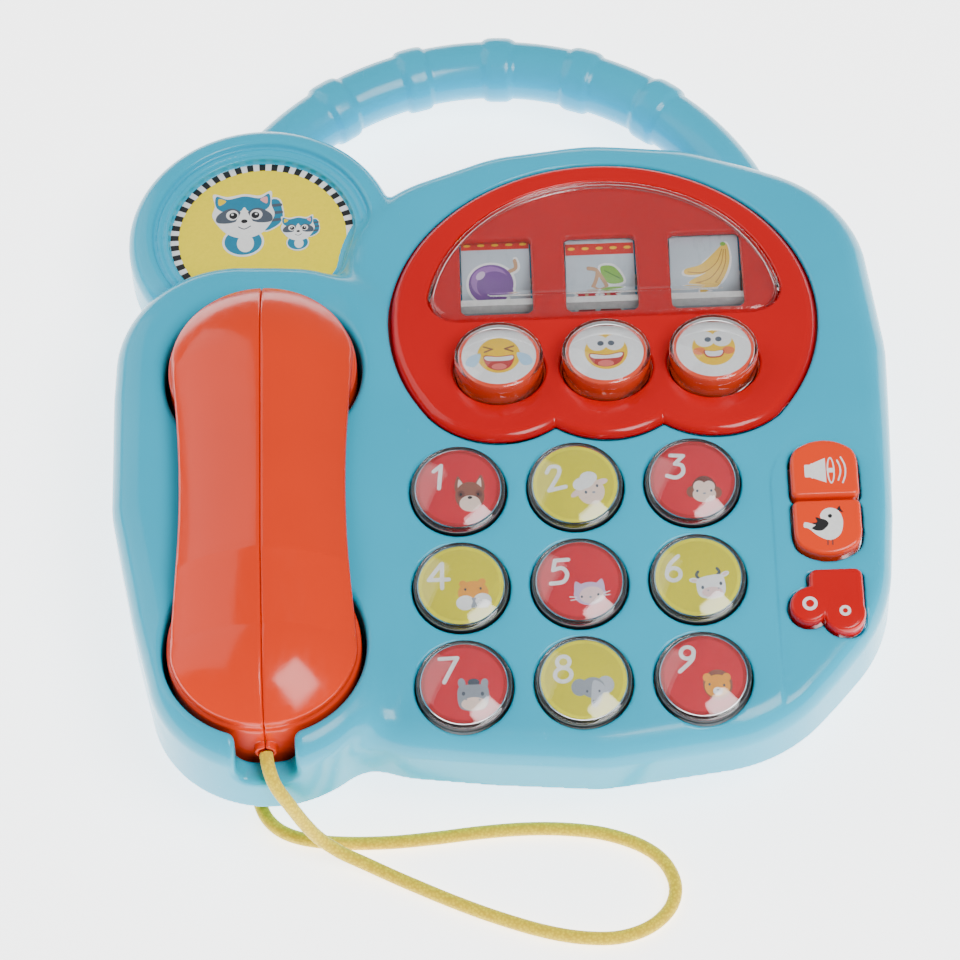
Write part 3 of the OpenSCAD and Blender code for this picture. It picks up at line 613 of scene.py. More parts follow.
def front_field(x, y, z):
    flank = body_and_lobe(x, y, z)
    ear = both(circle(x, y, *EAR), z - EAR_H, 6.5)
    ear = cut(ear, ear_cuts(x, y, z), 0.7)
    outer = join(flank, ear, 2.5)
    well = wells(x, y, z)
    ky, kh = tilted(y, z, 0, FACE_H, SLOPE)
    shell = cut(outer, both(strip_shape(x, ky), -1.2 - kh, 0.8), 1.0)
    shell = cut(shell, well, 2.2)
    under_label = both(circle(x, y, EAR[0], EAR[1], 38), 33.5 - z)
    shell = cut(shell, cut(cut(outer + WALL, well - 2.2), under_label))
    for px, py, top in POSTS:
        post = both(circle(x, y, px, py, 3.5), z - top)
        shell = np.minimum(shell, both(post, outer + 1))
        shell = cut(shell, both(circle(x, y, px, py, 1.5), z - PART_Z - 12), 0.3)
    for _, (kx, key_y) in KEY_AT.items():
        shell = cut(shell, both(np.hypot(x - kx, ky - key_y) - KEY_HOLE_R, -9 - kh), 0.9)
    for shape in (sound_shape, bird_shape, car_shape):
        shell = cut(shell, both(shape(x, ky, 0.5), -9 - kh), 0.7)
    dy, dh = tilted(y, z, RIDGE_Y, RIDGE_Z, -SLOPE)
    shell = cut(shell, both(panel_shape(x, dy, 0.5), -8 - dh), 1.2)
    shell = cut(shell, handle_bed(x, y, z), 0.5)
    return both(shell, PART_Z - z, 0.5)


front = cast("front_case", (-146, -62, 18), (103, 192, 60), 0.6, front_field, LEVEL)
paint(front, sky_plastic)
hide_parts("front_shell")
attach(front, "base")


def rear_field(x, y, z):
    """The back half: a tray with a broad rounding where it meets the table."""
    body = hull_of(x, y, KEYPAD_CORNERS + DISPLAY_CORNERS)
    plan = join(join(body, hull_of(x, y, LOBE_CORNERS), 9.0), circle(x, y, *EAR), 2.5)
    outer = np.maximum(both(plan + REAR_INSET, -z, REAR_EDGE_R), 0.6 * (plan + REAR_INSET))
    outer = both(outer, z - PART_Z + 0.15, 0.5)
    shell = cut(outer, both(plan + REAR_INSET, -z, REAR_EDGE_R) + WALL)
    box = box_field(x, y, z, (-33, -5, 0), (37, 53, 4.5))
    walls = box_field(x, y, z, (-29, -1, 0), (33, 49, 19))
    tab = both(circle(x, y, 37, 24, 6.5), both(-z, z - 12))
    shell = np.minimum(shell, np.minimum(np.minimum(box, walls), tab))
    ring = both(np.abs(np.hypot(x - HANDSET_X, y - 30) - 19.6) - 0.9, both(1.6 - z, z - 8))
    shell = np.minimum(shell, ring)
    for px, py, _ in POSTS:
        post = both(circle(x, y, px, py, 4.5), both(-z, z - PART_Z + 0.15))
        shell = np.minimum(shell, both(post, outer + 0.3))
    bay = box_field(x, y, z, (-27, 1, -1), (31, 47, 17.4))
    seat = box_field(x, y, z, (-31, -3, -1), (35, 51, 2.5))
    seat = np.minimum(seat, box_field(x, y, z, (30, 19, -1), (37, 29, 2.5)))
    seat = np.minimum(seat, both(circle(x, y, 37, 24, 5.3), z - 2.5))
    shell = cut(shell, np.minimum(bay, seat), 0.4)
    shell = cut(shell, both(circle(x, y, 37, 24, 1.6), z - 10), 0.2)
    for radius, count in ((0, 1), (5.5, 6), (11, 12)):
        for i in range(count):
            a = 2 * math.pi * i / count
            hole = circle(x, y, HANDSET_X + radius * math.cos(a), 30 + radius * math.sin(a), 1.5)
            shell = cut(shell, both(hole, z - 5), 0.4)
    for px, py, _ in POSTS:
        shell = cut(shell, both(circle(x, y, px, py, 3.2), z - 12), 0.5)
        shell = cut(shell, circle(x, y, px, py, 1.6), 0.2)
    cord_hole = both(np.hypot(x + 100, z - 7) - 2.5, both(y + 38, -70 - y))
    shell = cut(shell, cord_hole, 0.8)
    shell = cut(shell, box_field(x, y, z, (-18, 73, -1), (-5.6, 78.4, 4)), 0.4)
    return cut(shell, handle_bed(x, y, z), 0.5)


rear = cast("rear_case", (-146, -62, -2), (103, 192, 22), 0.65, rear_field, LEVEL)
paint(rear, sky_plastic)
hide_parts("rear_shell")
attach(rear, "base")

# ---------- carry handle ----------

HANDLE_START, HANDLE_END = 15.0, 152.0


def handle_line():
    steps = 220
    turn = [math.radians(HANDLE_START + (HANDLE_END - HANDLE_START) * i / steps) for i in range(steps + 1)]
    return [np.array((HANDLE_C[0] + HANDLE_R * math.cos(a), HANDLE_C[1] + HANDLE_R * math.sin(a), PART_Z))
            for a in turn]


def handle_radius(run, a):
    """Five knuckles, each a smooth swelling with crisp shoulders."""
    at = HANDLE_START + math.degrees(run / HANDLE_R)
    swell = 0.0
    for knuckle in KNUCKLES:
        off = abs(at - knuckle) / 3.1
        if off < 1:
            swell = max(swell, 1.25 * (1 - off ** 4) ** 0.5)
    return TUBE_R - 0.15 + swell


grip = tube("carry_grip", handle_line(), handle_radius, 64, LEVEL, sky_plastic)
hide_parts("carry_handle")
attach(grip, "base")

# ---------- handset ----------

COVER_Z = 57.0
COVER_R = 28.6
CROWN_H = 11.0
FRONT_DROOP = 5.0     # how much lower the cover lies over the front cup
DROOP_FROM = 5.0
WAIST_R = 400.0
WAIST_HALF = 25.6


def handset_field(x, y, z):
    """A long crowned cover with a crisp edge, pinched at the waist, over two round cups."""
    top = z + FRONT_DROOP * np.clip((DROOP_FROM - y) / (DROOP_FROM - CUP_Y[1]), 0, 1)
    along = y - np.clip(y, CUP_Y[1], CUP_Y[0])
    plan = np.hypot(x - HANDSET_X, along) - COVER_R
    sides = np.maximum(*(WAIST_R - np.hypot(x - HANDSET_X - s * (WAIST_R + WAIST_HALF), y - 30.5)
                         for s in (-1, 1)))
    plan = both(plan, sides, 1.5)
    # the crown: an even arch that still slopes where it meets the edge
    across = np.clip((plan + COVER_R) / COVER_R, 0, 1.1)
    crown = (top - COVER_Z - CROWN_H * (1 - across ** 2.2)) * 0.72
    cover = both(both(plan, crown, 0.5), COVER_Z - 3.5 - top, 1.2)
    cups = np.minimum(*(circle(x, y, HANDSET_X, cy, CUP_R) for cy in CUP_Y))
    cups = both(both(cups, top - 54.2, 1.0), 28.0 - z)
    hollows = (both(np.minimum(*(circle(x, y, HANDSET_X, cy, CUP_R - wall) for cy in CUP_Y)), top - limit)
               for wall, limit in ((2.2, 49.5), (4.5, 58)))
    cup_hollow = np.minimum(*hollows)
    collar = both(np.hypot(x - HANDSET_X, z - 40) - 3.4, both(-50.8 - y, y + 44), 0.6)
    solid = np.minimum(np.minimum(cover, cups), collar)
    bore = both(np.hypot(x - HANDSET_X, z - 40) - 2.2, both(-52 - y, y + 42))
    return cut(cut(solid, np.minimum(cover + 2.2, cup_hollow)), bore, 0.3)


def half(side):
    """One side of the handset; a fine groove is left where the halves meet."""
    def field(x, y, z):
        return both(handset_field(x, y, z), side * (HANDSET_X - x) + 0.03, 0.45)
    return field


HALF_BOX = {"left": (-129, -95), "right": (-97, -63)}
for side, name in ((-1, "left"), (1, "right")):
    low_x, high_x = HALF_BOX[name]
    half_case = cast(f"handset_case_{name}", (low_x, -53, 26), (high_x, 112, 70),
                     0.5, half(side), LEVEL)
    paint(half_case, handset_plastic)
    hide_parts(f"handset_{name}")
    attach(half_case, "handset")
for name in ("earpiece_cap", "mouthpiece_cap"):
    paint(nodes[name], deep_red_plastic)

# ---------- display panel and its clear cover ----------

PANEL_TOP = 1.2


def panel_field(x, y, z):
    slab = both(both(panel_shape(x, y, 0), z - PANEL_TOP, 3.2), -2.0 - z)
    flange = both(both(panel_shape(x, y, 1.9), 14 - y), np.abs(z + 3.3) - 0.7)
    tray = both(cover_shape(x, y, 1.5), np.abs(z + 2.2) - 1.3)
    solid = np.minimum(np.minimum(slab, flange), tray)
    solid = cut(solid, both(cover_shape(x, y, 0.25), -1.5 - z, 0.6), 0.5)
    for _, (sx, sy) in SPIN_AT.items():
        solid = cut(solid, both(circle(x, y, sx, sy, 14.45), -7 - z), 0.9)
        solid = cut(solid, both(circle(x, y, sx, sy, 16.4), both(-7 - z, z + 2)))
        window = both(np.abs(x - sx) - 11.4, np.abs(y - 71.15) - 16.25, 2.2)
        solid = cut(solid, window, 0.7)
    return solid


panel = cast("display_face", (-60, -3, -6), (82, 122, 4), 0.42, panel_field, DISPLAY)
paint(panel, scarlet_plastic)
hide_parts("display_panel")
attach(panel, "base")


def cover_field(x, y, z):
    """A shallow clear tray turned upside down, its rim notched above each button."""
    outer = both(both(cover_shape(x, y, 0), z - 2.0, 1.6), -1.45 - z)
    inner = both(cover_shape(x, y, -1.3), z - 1.0, 0.8)
    skin = cut(outer, inner)
    for sx, sy in SPIN_AT.values():
        skin = cut(skin, circle(x, y, sx, sy, 21.3), 0.3)
    return skin


cover = cast("clear_cover", (-47, 47, -3), (71, 112, 4), 0.36, cover_field, DISPLAY)
paint(cover, clear)
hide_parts("display_window")
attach(cover, "base")

# ---------- number keys ----------

DOME_R = 36.5
CAP_R = 14.5
DISC_R = 12.9
INK_STEP = 0.012


def key_place(n):
    return KEYPAD @ Matrix.Translation(Vector((*KEY_AT[n], 0)) * MM)


def dome_profile(dome_r, top, edge, r_out, foot, ceiling, r_in):
    """Half section of a clear domed cap, from the middle of its top round to the middle inside."""
    drop = [(r, top - dome_r + math.sqrt(dome_r ** 2 - r * r)) for r in np.linspace(0, r_out - edge, 22)]
    shoulder = drop[-1][1]
    corner = arc(r_out - edge, shoulder - edge, edge, 80, 0, 6)
    return drop + corner + [(r_out, foot), (r_in, foot), (r_in, ceiling - 0.3), (r_in - 0.3, ceiling),
        (0, ceiling)]


KEY_CAP = dome_profile(DOME_R, 5.2, 1.0, CAP_R, 0.7, 2.0, DISC_R + 0.2)
# A black ring under each clear cap's edge: painted shade that stands for the dark gap seen through the cap's clear
# wall, not a part of the toy.
KEY_SHADE_RING = [(DISC_R + 0.15, -4.1), (CAP_R - 0.02, -4.1), (CAP_R - 0.02, 0.4), (CAP_R - 0.3, 0.65),
            (DISC_R + 0.4, 0.65), (DISC_R + 0.15, 0.4)]
for n in range(1, 10):
    cap = paint(lathe(f"key_dome_{n}", KEY_CAP, key_place(n)), clear)
    ring = paint(lathe(f"key_shade_ring_{n}", KEY_SHADE_RING, key_place(n)), gap_shade_black)
    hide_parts(f"key_{n}_cap")
    for piece in (cap, ring):
        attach(piece, f"number_key_{n}")
    paint(nodes[f"key_{n}_body"], key_red_plastic if n % 2 else key_green_plastic)

# ---------- reel buttons ----------

SPIN_CAP = dome_profile(65.0, 9.6, 1.1, 13.9, -2.1, 7.1, 12.75)
SPIN_CAP[-4:-4] = [(15.6, -2.1), (15.6, -3.6), (12.75, -3.6)]
for n in (1, 2, 3):
    cap = paint(lathe(f"spin_dome_{n}", SPIN_CAP, SPIN[n]), clear)
    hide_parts(f"spin_{n}_cap")
    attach(cap, f"spin_button_{n}")
    paint(nodes[f"spin_{n}_body"], button_plastic)
    paint(nodes[f"reel_{n}"], reel_plastic)

# ---------- mode keys ----------

def mode_key(name, shape, low, high, extra=None):
    def field(x, y, z):
        solid = both(both(shape(x, y, 0), z - 2.4, 1.5), -4.15 - z)
        return extra(x, y, z, solid) if extra else solid
    piece = cast(f"{name}_face", (*low, -5.5), (*high, 5), 0.32, field, KEYPAD)
    return piece


def car_domes(x, y, z, solid):
    """The two wheels stand up as low domes."""
    front_wheel = np.sqrt((x - 69.3) ** 2 + (y + 10.6) ** 2 + (z + 20) ** 2) - 22.9
    rear_wheel = np.sqrt((x - 79.8) ** 2 + (y + 13.4) ** 2 + (z + 20) ** 2) - 23.0
    domes = both(np.minimum(front_wheel, rear_wheel), -2 - z)
    return join(solid, both(domes, car_shape(x, y, -0.6)), 0.8)


MODE_KEYS = {
    "sound_key": (sound_shape, (64, 23), (89, 47), None, "sound_button", "button_orange"),
    "bird_key": (bird_shape, (64, 4), (89, 27), None, "bird_button", "button_orange"),
    "car_key": (car_shape, (61, -22), (89, 4), car_domes, "car_button", "car_red"),
}
for name, (shape, low, high, extra, body, slot) in MODE_KEYS.items():
    piece = mode_key(name, shape, low, high, extra)
    paint(piece, scarlet_plastic if name == "car_key" else button_plastic)
    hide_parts(name)
    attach(piece, body)

# ---------- printed pictures ----------
# Each picture is a stack of thin closed shapes, every next one standing a hair higher.

INKS = {
    "white": (0.86, 0.86, 0.85), "black": (0.012, 0.012, 0.014), "grey": (0.28, 0.31, 0.35),
    "pale_grey": (0.50, 0.53, 0.58), "slate": (0.07, 0.09, 0.12), "brown": (0.26, 0.09, 0.06),
    "dark_brown": (0.16, 0.05, 0.04), "tan": (0.55, 0.30, 0.15), "cream": (0.86, 0.66, 0.55),
    "pink": (0.84, 0.36, 0.38), "pale_pink": (0.86, 0.62, 0.60), "lilac": (0.62, 0.46, 0.66),
    "amber": (0.86, 0.34, 0.03), "yellow": (0.86, 0.60, 0.01), "smile_yellow": (0.95, 0.58, 0.002),
    "mouth": (0.50, 0.03, 0.03), "tongue": (0.80, 0.16, 0.14), "blush": (0.88, 0.20, 0.05),
    "tear": (0.42, 0.66, 0.86), "teal": (0.005, 0.20, 0.34), "plum": (0.16, 0.04, 0.26),
    "plum_light": (0.33, 0.13, 0.45), "leaf": (0.19, 0.45, 0.03), "leaf_dark": (0.05, 0.20, 0.01),
    "cherry": (0.55, 0.01, 0.02), "banana": (0.88, 0.56, 0.06), "banana_edge": (0.50, 0.22, 0.02),
    "band_red": (0.66, 0.02, 0.01), "deep_red": (0.46, 0.001, 0.006), "rose": (0.66, 0.008, 0.024),
    "lime": (0.70, 0.62, 0.001), "lime_rim": (0.86, 0.78, 0.004), "orange": (0.90, 0.05, 0.001),
    "print_yellow": (0.98, 0.78, 0.0005),
}
inks = {name: printed_ink("ink_" + name, colour) for name, colour in INKS.items()}


def oval(cx, cy, rx, ry=None, tilt=0.0, steps=40):
    ry = rx if ry is None else ry
    c, s = math.cos(math.radians(tilt)), math.sin(math.radians(tilt))
    ring = [(rx * math.cos(a), ry * math.sin(a)) for a in (2 * math.pi * i / steps for i in range(steps))]
    return [(cx + x * c - y * s, cy + x * s + y * c) for x, y in ring]


def blob(points, steps=6):
    """A smooth closed outline through some points."""
    count = len(points)
    pts = [np.array(p, float) for p in points]
    outline = []
    for i in range(count):
        p0, p1, p2, p3 = (pts[(i + k) % count] for k in (-1, 0, 1, 2))
        for k in range(steps):
            t = k / steps
            outline.append(0.5 * (2 * p1 + (p2 - p0) * t + (2 * p0 - 5 * p1 + 4 * p2 - p3) * t * t
                                  + (3 * p1 - p0 - 3 * p2 + p3) * t ** 3))
    return [tuple(p) for p in outline]


def stroke(points, width, smooth=True):
    """The outline of a line with round ends."""
    pts = through([(x, y, 0) for x, y in points], 5) if smooth and len(points) > 2 else [
        np.array((x, y, 0.0)) for x, y in points]
    left, right = [], []
    for i, p in enumerate(pts):
        ahead = pts[min(i + 1, len(pts) - 1)] - pts[max(i - 1, 0)]
        ahead = ahead / np.linalg.norm(ahead)
        out = np.array((-ahead[1], ahead[0], 0)) * width / 2
        left.append(p + out)
        right.append(p - out)

    def end(p, start):
        a0 = math.atan2(start[1] - p[1], start[0] - p[0])
        return [(p[0] + width / 2 * math.cos(a0 - math.pi * k / 6),
            p[1] + width / 2 * math.sin(a0 - math.pi * k / 6))
                for k in range(1, 6)]

    outline = [tuple(p[:2]) for p in left] + end(pts[-1], left[-1])
    return outline + [tuple(p[:2]) for p in right[::-1]] + end(pts[0], right[0])


def moved(outline, x, y, size=1.0, turn=0.0):
    c, s = math.cos(math.radians(turn)) * size, math.sin(math.radians(turn)) * size
    return [(x + px * c - py * s, y + px * s + py * c) for px, py in outline]


def slab_mesh(loops, low, high):
    """A flat closed shape with an outline and perhaps a hole."""
    flat = [(x, y) for loop in loops for x, y in loop]
    tris = tessellate_polygon([[Vector((x, y, 0)) for x, y in loop] for loop in loops])
    count = len(flat)
    verts = [(x, y, low) for x, y in flat] + [(x, y, high) for x, y in flat]
    faces = []
    for tri in tris:
        a, b, c = (flat[i] for i in tri)
        if (b[0] - a[0]) * (c[1] - a[1]) - (b[1] - a[1]) * (c[0] - a[0]) < 0:
            tri = tri[::-1]
        faces += [tuple(i + count for i in tri), tuple(tri)[::-1]]
    start = 0
    for order, loop in enumerate(loops):
        size = len(loop)
        area = sum(loop[i][0] * loop[(i + 1) % size][1] - loop[(i + 1) % size][0] * loop[i][1] for i in range(size))
        solid_left = (area > 0) == (order == 0)
        for i in range(size):
            a, b = start + i, start + (i + 1) % size
            faces.append((a, b, b + count, a + count) if solid_left else (b, a, a + count, b + count))
        start += size
    return verts, faces


def picture(name, place, layers, low, body, step=INK_STEP, bend=None):
    """One print: layers of (ink, outline) or (ink, outline, hole), from the bottom up."""
    verts, faces, marks, used = [], [], [], []
    for order, (ink, *loops) in enumerate(layers):
        if ink not in used:
            used.append(ink)
        v, f = slab_mesh(loops, low, low + step * (order + 1.5))
        faces += [tuple(i + len(verts) for i in face) for face in f]
        marks += [used.index(ink)] * len(f)
        verts += v
    piece = paint(new_piece(name, verts, faces, None, smooth=False), *[inks[ink] for ink in used])
    piece.data.polygons.foreach_set("material_index", marks)
    if bend:
        bm = bmesh.new()
        bm.from_mesh(piece.data)
        for k in range(-14, 15):
            bmesh.ops.bisect_plane(bm, geom=bm.verts[:] + bm.edges[:] + bm.faces[:],
                plane_co=(0, k * MM, 0),
                                   plane_no=(0, 1, 0))
        for vert in bm.verts:
            vert.co = Vector(bend(*(vert.co / MM))) * MM
        bm.to_mesh(piece.data)
        bm.free()
    piece.data.transform(place)
    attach(piece, body)
    return piece


# ---------- digits ----------

DIGITS = {
    1: [[(-.22, .26), (.08, .5)], [(.08, .5), (-.02, -.5)]],
    2: [[(-.3, .26), (-.16, .48), (.12, .44), (.12, .14), (-.24, -.46)], [(-.24, -.46), (.36, -.34)]],
    3: [[(-.2, .48), (.28, .42)], [(.28, .42), (-.04, .1)], [(-.04, .1), (.22, .0), (.24, -.3),
        (-.02, -.48), (-.36, -.38)]],
    4: [[(.1, .5), (-.4, -.14)], [(-.4, -.14), (.36, -.16)], [(.12, .5), (.1, -.5)]],
    5: [[(.34, .48), (-.16, .48)], [(-.16, .48), (-.24, .08)],
        [(-.24, .08), (.1, .14), (.28, -.12), (.12, -.42), (-.34, -.46)]],
    6: [[(.2, .5), (-.14, .16), (-.26, -.2)]],
    7: [[(-.32, .46), (.34, .46)], [(.34, .46), (-.16, -.5)]],
    8: [],
    9: [[(.28, .3), (.2, -.06), (-.26, -.5)]],
}
LOOPS = {6: [(0, -.24, .26, .25)], 8: [(.02, .25, .22, .22), (0, -.24, .29, .26)],
    9: [(.04, .24, .24, .24)]}
DIGIT_AT = {1: (-5.5, 3.8, 7.6), 2: (-5.9, 1.9, 8.4), 3: (-4.7, 4.6, 8), 4: (-6.4, 3, 8), 5: (-5.8, 3, 8),
            6: (-7.2, 2.8, 8), 7: (-4.5, 4.5, 8), 8: (-6, 3.6, 8.4), 9: (-4.8, 5.3, 8)}


def digit(n, ink="white", weight=1.25):
    cx, cy, size = DIGIT_AT[n]
    layers = [(ink, moved(stroke([(x * size, y * size) for x, y in line], weight), cx,
        cy)) for line in DIGITS[n]]
    for x, y, rx, ry in LOOPS.get(n, []):
        outer = oval(cx + x * size, cy + y * size, rx * size + weight / 2, ry * size + weight / 2)
        hole = oval(cx + x * size, cy + y * size, rx * size - weight / 2, ry * size - weight / 2)
        layers.append((ink, outer, hole))
    return layers


# ---------- animal faces: round shapes round (0, 0), then moved to their place ----------

def eyes(gap, y, size=0.42, ink="slate", tilt=0.0):
    return [(ink, oval(-gap, y - tilt, size * 0.85, size)), (ink, oval(gap, y + tilt, size * 0.85, size))]


ANIMALS = {
    1: [("brown", blob([(-4.1, 1.6), (-3.6, 7.2), (-1.4, 4.2), (1.4, 4.2), (3.8, 7.6), (4.3, 1.6)])),
        ("cream", blob([(-3.5, 2.6), (-3.2, 6.0), (-1.7, 3.4)])),
            ("cream", blob([(3.6, 2.6), (3.5, 6.4), (1.9, 3.4)])),
        ("brown", oval(0.1, 0.2, 4.6, 4.9)), ("dark_brown", oval(-2.6, 0.9, 1.1, 1.3)),
        ("dark_brown", oval(2.9, 0.9, 1.1, 1.3)), ("cream", oval(0.1, -2.3, 3.3, 2.7)),
            ("black", oval(0.1, -0.3, 0.75, 0.5))]
       + eyes(2.7, 0.8, 0.5, "black"),
    2: [("pale_pink", oval(-3.9, -0.6, 1.9, 0.9, 30)), ("pale_pink", oval(4.1, 2.2, 2.0, 0.95, 12)),
        ("cream", oval(0.6, -0.6, 4.1, 4.3)), ("white", oval(-2.2, 2.2, 2.4, 2.0, 20)),
            ("white", oval(0.4, 4.0, 2.6, 2.0)),
        ("white", oval(-0.4, 2.4, 2.6, 1.7, 25)), ("slate", oval(-1.0, -0.7, 0.4, 0.5)),
            ("slate", oval(2.6, 1.0, 0.4, 0.5)),
        ("grey", oval(1.3, -1.0, 0.5, 0.35))],
    3: [("dark_brown", oval(0, 0.6, 4.0, 4.6)), ("brown", oval(-3.9, -0.2, 1.7, 2.0)),
        ("brown", oval(3.9, -0.6, 1.7, 2.0)),
        ("cream", oval(-1.5, 1.5, 1.9, 2.0)), ("cream", oval(1.5, 1.4, 1.9, 2.0)),
            ("cream", oval(0, -1.2, 3.7, 2.7)),
        ("grey", oval(0, -0.9, 0.5, 0.3))] + eyes(2.2, 0.0, 0.45),
    4: [("amber", oval(-3.0, 3.9, 1.2, 1.1)), ("amber", oval(3.0, 4.2, 1.2, 1.1)),
        ("amber", oval(0, 0.6, 4.8, 4.0)),
        ("white", oval(-2.7, -2.6, 2.9, 2.5)), ("white", oval(2.7, -2.2, 2.9, 2.5)),
        ("grey", blob([(-0.7, -1.2), (0.7, -1.2), (0.4, -2.3), (1.0, -4.3), (-1.0, -4.3), (-0.4, -2.3)]))]
       + eyes(2.4, 1.9, 0.45),
    5: [("lilac", blob([(-4.4, 0), (-4.2, 4.3), (-1.8, 3.1), (1.8, 3.2), (4.2, 4.7), (4.5, 0.3), (0, -1)])),
        ("lilac", oval(0, 0, 5.0, 3.9)), ("pale_pink", oval(0.6, -0.6, 3.9, 2.9)),
        ("white", stroke([(-6.3, -0.6), (-4.2, -0.9)], 0.3)),
            ("white", stroke([(-6.1, -1.8), (-4.2, -1.6)], 0.3)),
        ("white", stroke([(6.3, 0.4), (4.3, -0.2)], 0.3)), ("white",
            stroke([(6.3, -0.8), (4.3, -0.9)], 0.3)),
        ("grey", oval(0.1, -1.2, 0.42, 0.3))] + eyes(2.6, -0.7, 0.42, "slate", 0.2),
    6: [("slate", stroke([(-3.4, 2.8), (-3.9, 3.9), (-3.3, 4.9)], 0.9)),
        ("slate", stroke([(2.3, 3.4), (3.1, 4.4), (2.5, 5.6)], 0.9)),
        ("white", oval(-4.7, 2.2, 1.5, 0.8, -10)), ("pale_pink", oval(-4.8, 2.1, 0.9, 0.4, -10)),
        ("white", oval(4.7, 3.6, 1.5, 0.8, 25)), ("pale_pink", oval(4.8, 3.7, 0.9, 0.4, 25)),
        ("white", blob([(-3.6, 2.4), (0, 3.4), (3.8, 3.2), (4.6, -0.6), (3.6, -3.4), (0, -4.2),
            (-3.4, -3.2), (-4.2, 0)])),
        ("pale_pink", oval(0.4, -2.1, 3.2, 1.7)), ("slate", oval(-2.4, -0.4, 0.45, 0.6)),
            ("slate", oval(3.2, 0.5, 0.45, 0.6)),
        ("grey", oval(-0.8, -1.5, 0.24)), ("grey", oval(2.4, -1.0, 0.24))],
    7: [("grey", oval(-3.6, 4.2, 1.2, 1.7, 8)), ("grey", oval(3.7, 4.0, 1.2, 1.7, -8)),
        ("slate", oval(0.2, 4.4, 1.9, 1.3)),
        ("grey", blob([(-4.4, 3), (0, 3.6), (4.4, 3), (5, -1.6), (3.6, -4.6), (0, -5.4), (-3.8, -4.6),
            (-5, -1.6)])),
        ("cream", oval(0.2, -3.0, 4.1, 2.3)), ("slate", oval(-3.1, 0.6, 0.55, 0.7)),
            ("slate", oval(2.9, 0.4, 0.55, 0.7)),
        ("grey", oval(-2.3, -1.4, 0.3)), ("grey", oval(2.0, -1.6, 0.3))],
    8: [("grey", oval(-4.3, 1.6, 2.7, 3.0)), ("pale_grey", oval(4.3, 1.9, 2.8, 3.1)),
        ("grey", oval(0, 1.2, 3.9, 3.6)),
        ("pale_grey", blob([(0.4, 3.6), (3.7, 1.6), (3.2, -1.4), (0.9, -5.4), (-0.8, -5.2), (-0.8, -2)])),
        ("slate", stroke([(-0.4, -3.2), (0.4, -3.5), (1.2, -3.1)], 0.25)),
            ("slate", stroke([(-0.3, -4.1), (0.4, -4.4), (1.0, -4.0)], 0.25))]
       + eyes(2.0, -0.1, 0.45, "slate", -0.1),
    9: [("brown", oval(0.4, 0.3, 5.2, 5.6)), ("amber", oval(-3.1, 3.2, 1.5, 1.6)),
        ("amber", oval(3.7, 2.7, 1.5, 1.6)),
        ("amber", oval(0.2, -0.3, 4.5, 4.3)), ("white", oval(0.1, -2.2, 1.7, 1.5)),
            ("grey", oval(0.2, -1.8, 0.42, 0.34))]
       + eyes(2.5, 0.2, 0.5, "slate", -0.4),
}
ANIMAL_AT = {1: (3.4, -3.1, 0.96, 0), 2: (4.0, -2.2, 1.0, 6), 3: (3.3, -3.9, 0.95, 0),
    4: (3.6, -3.4, 0.95, 3),
             5: (2.9, -4.4, 0.95, 3), 6: (3.5, -3.3, 0.98, 3), 7: (2.6, -3.9, 0.92, 0),
                 8: (2.6, -3.9, 0.9, 3),
             9: (3.7, -3.5, 0.84, 4)}
for n in range(1, 10):
    red = n % 2
    layers = [("deep_red" if red else "lime_rim", oval(0, 0, 12.85, steps=96)),
        ("rose" if red else "lime", oval(0, 0, 11.7, steps=96))]
    x, y, size, turn = ANIMAL_AT[n]
    for ink, *loops in ANIMALS[n]:
        layers.append((ink, *[moved(loop, x, y, size, turn) for loop in loops]))
    picture(f"key_print_{n}", key_place(n), layers + digit(n), 1.6, f"number_key_{n}")

# ---------- faces on the reel buttons ----------

FACE = ("smile_yellow", oval(0, 0, 4.9, 5.3))


def laughing():
    yield FACE
    for side in (-1, 1):
        yield ("brown", stroke([(side * 3.4, 2.6), (side * 1.4, 1.8)], 0.42))
        yield ("brown", stroke([(side * 1.4, 1.8), (side * 3.2, 1.0)], 0.42))
        yield ("tear", blob([(side * 4.2, 0.6), (side * 6.8, -0.2), (side * 7.6, -2.4),
            (side * 5.8, -3.2), (side * 4.6, -1.8)]))
    yield ("mouth", blob([(-3.4, -0.2), (0, -0.5), (3.4, -0.2), (2.6, -3.4), (0, -4.6), (-2.6, -3.4)]))
    yield ("white", blob([(-3.1, -0.4), (0, -0.7), (3.1, -0.4), (2.4, -1.7), (-2.4, -1.7)]))
    yield ("tongue", oval(0, -3.5, 1.7, 0.9))


def grinning(mouth, blush):
    yield FACE
    for side in (-1, 1):
        yield ("white", oval(side * 1.9, 2.6, 2.3, 2.4))
        yield ("slate", oval(side * 1.2, 2.4, 0.75, 0.75))
        if blush:
            yield ("blush", oval(side * 3.3, -1.0, 1.4, 1.1))
    yield from mouth


WIDE_MOUTH = [("mouth", blob([(-3.9, -0.6), (0, -1.1), (3.9, -0.4), (3.0, -3.4), (0, -4.6), (-2.8, -3.6)])),
              ("white", blob([(-3.5, -0.8), (0, -1.3), (3.5, -0.6), (2.7, -2.0), (-2.6, -2.1)])),
              ("tongue", oval(-0.2, -3.6, 1.8, 0.9))]
SMALL_MOUTH = [("mouth", blob([(-2.3, -1.0), (0, -1.2), (2.3, -1.0), (1.5, -2.9), (-1.5, -2.9)])),
               ("white", blob([(-2.0, -1.1), (0, -1.3), (2.0, -1.1), (1.3, -2.6), (-1.3, -2.6)]))]
SMILES = {1: list(laughing()), 2: list(grinning(WIDE_MOUTH, False)), 3: list(grinning(SMALL_MOUTH, True))}
for n in (1, 2, 3):
    layers = [("orange", oval(0, 0, 12.5, steps=96)), ("white", oval(0, 0, 11.6, steps=96))]
    layers += [(ink, moved(outline, 0, 0, 1.36)) for ink, outline in SMILES[n]]
    picture(f"spin_print_{n}", SPIN[n], layers, 6.7, f"spin_button_{n}", step=0.015)

# ---------- pictures on the reels ----------

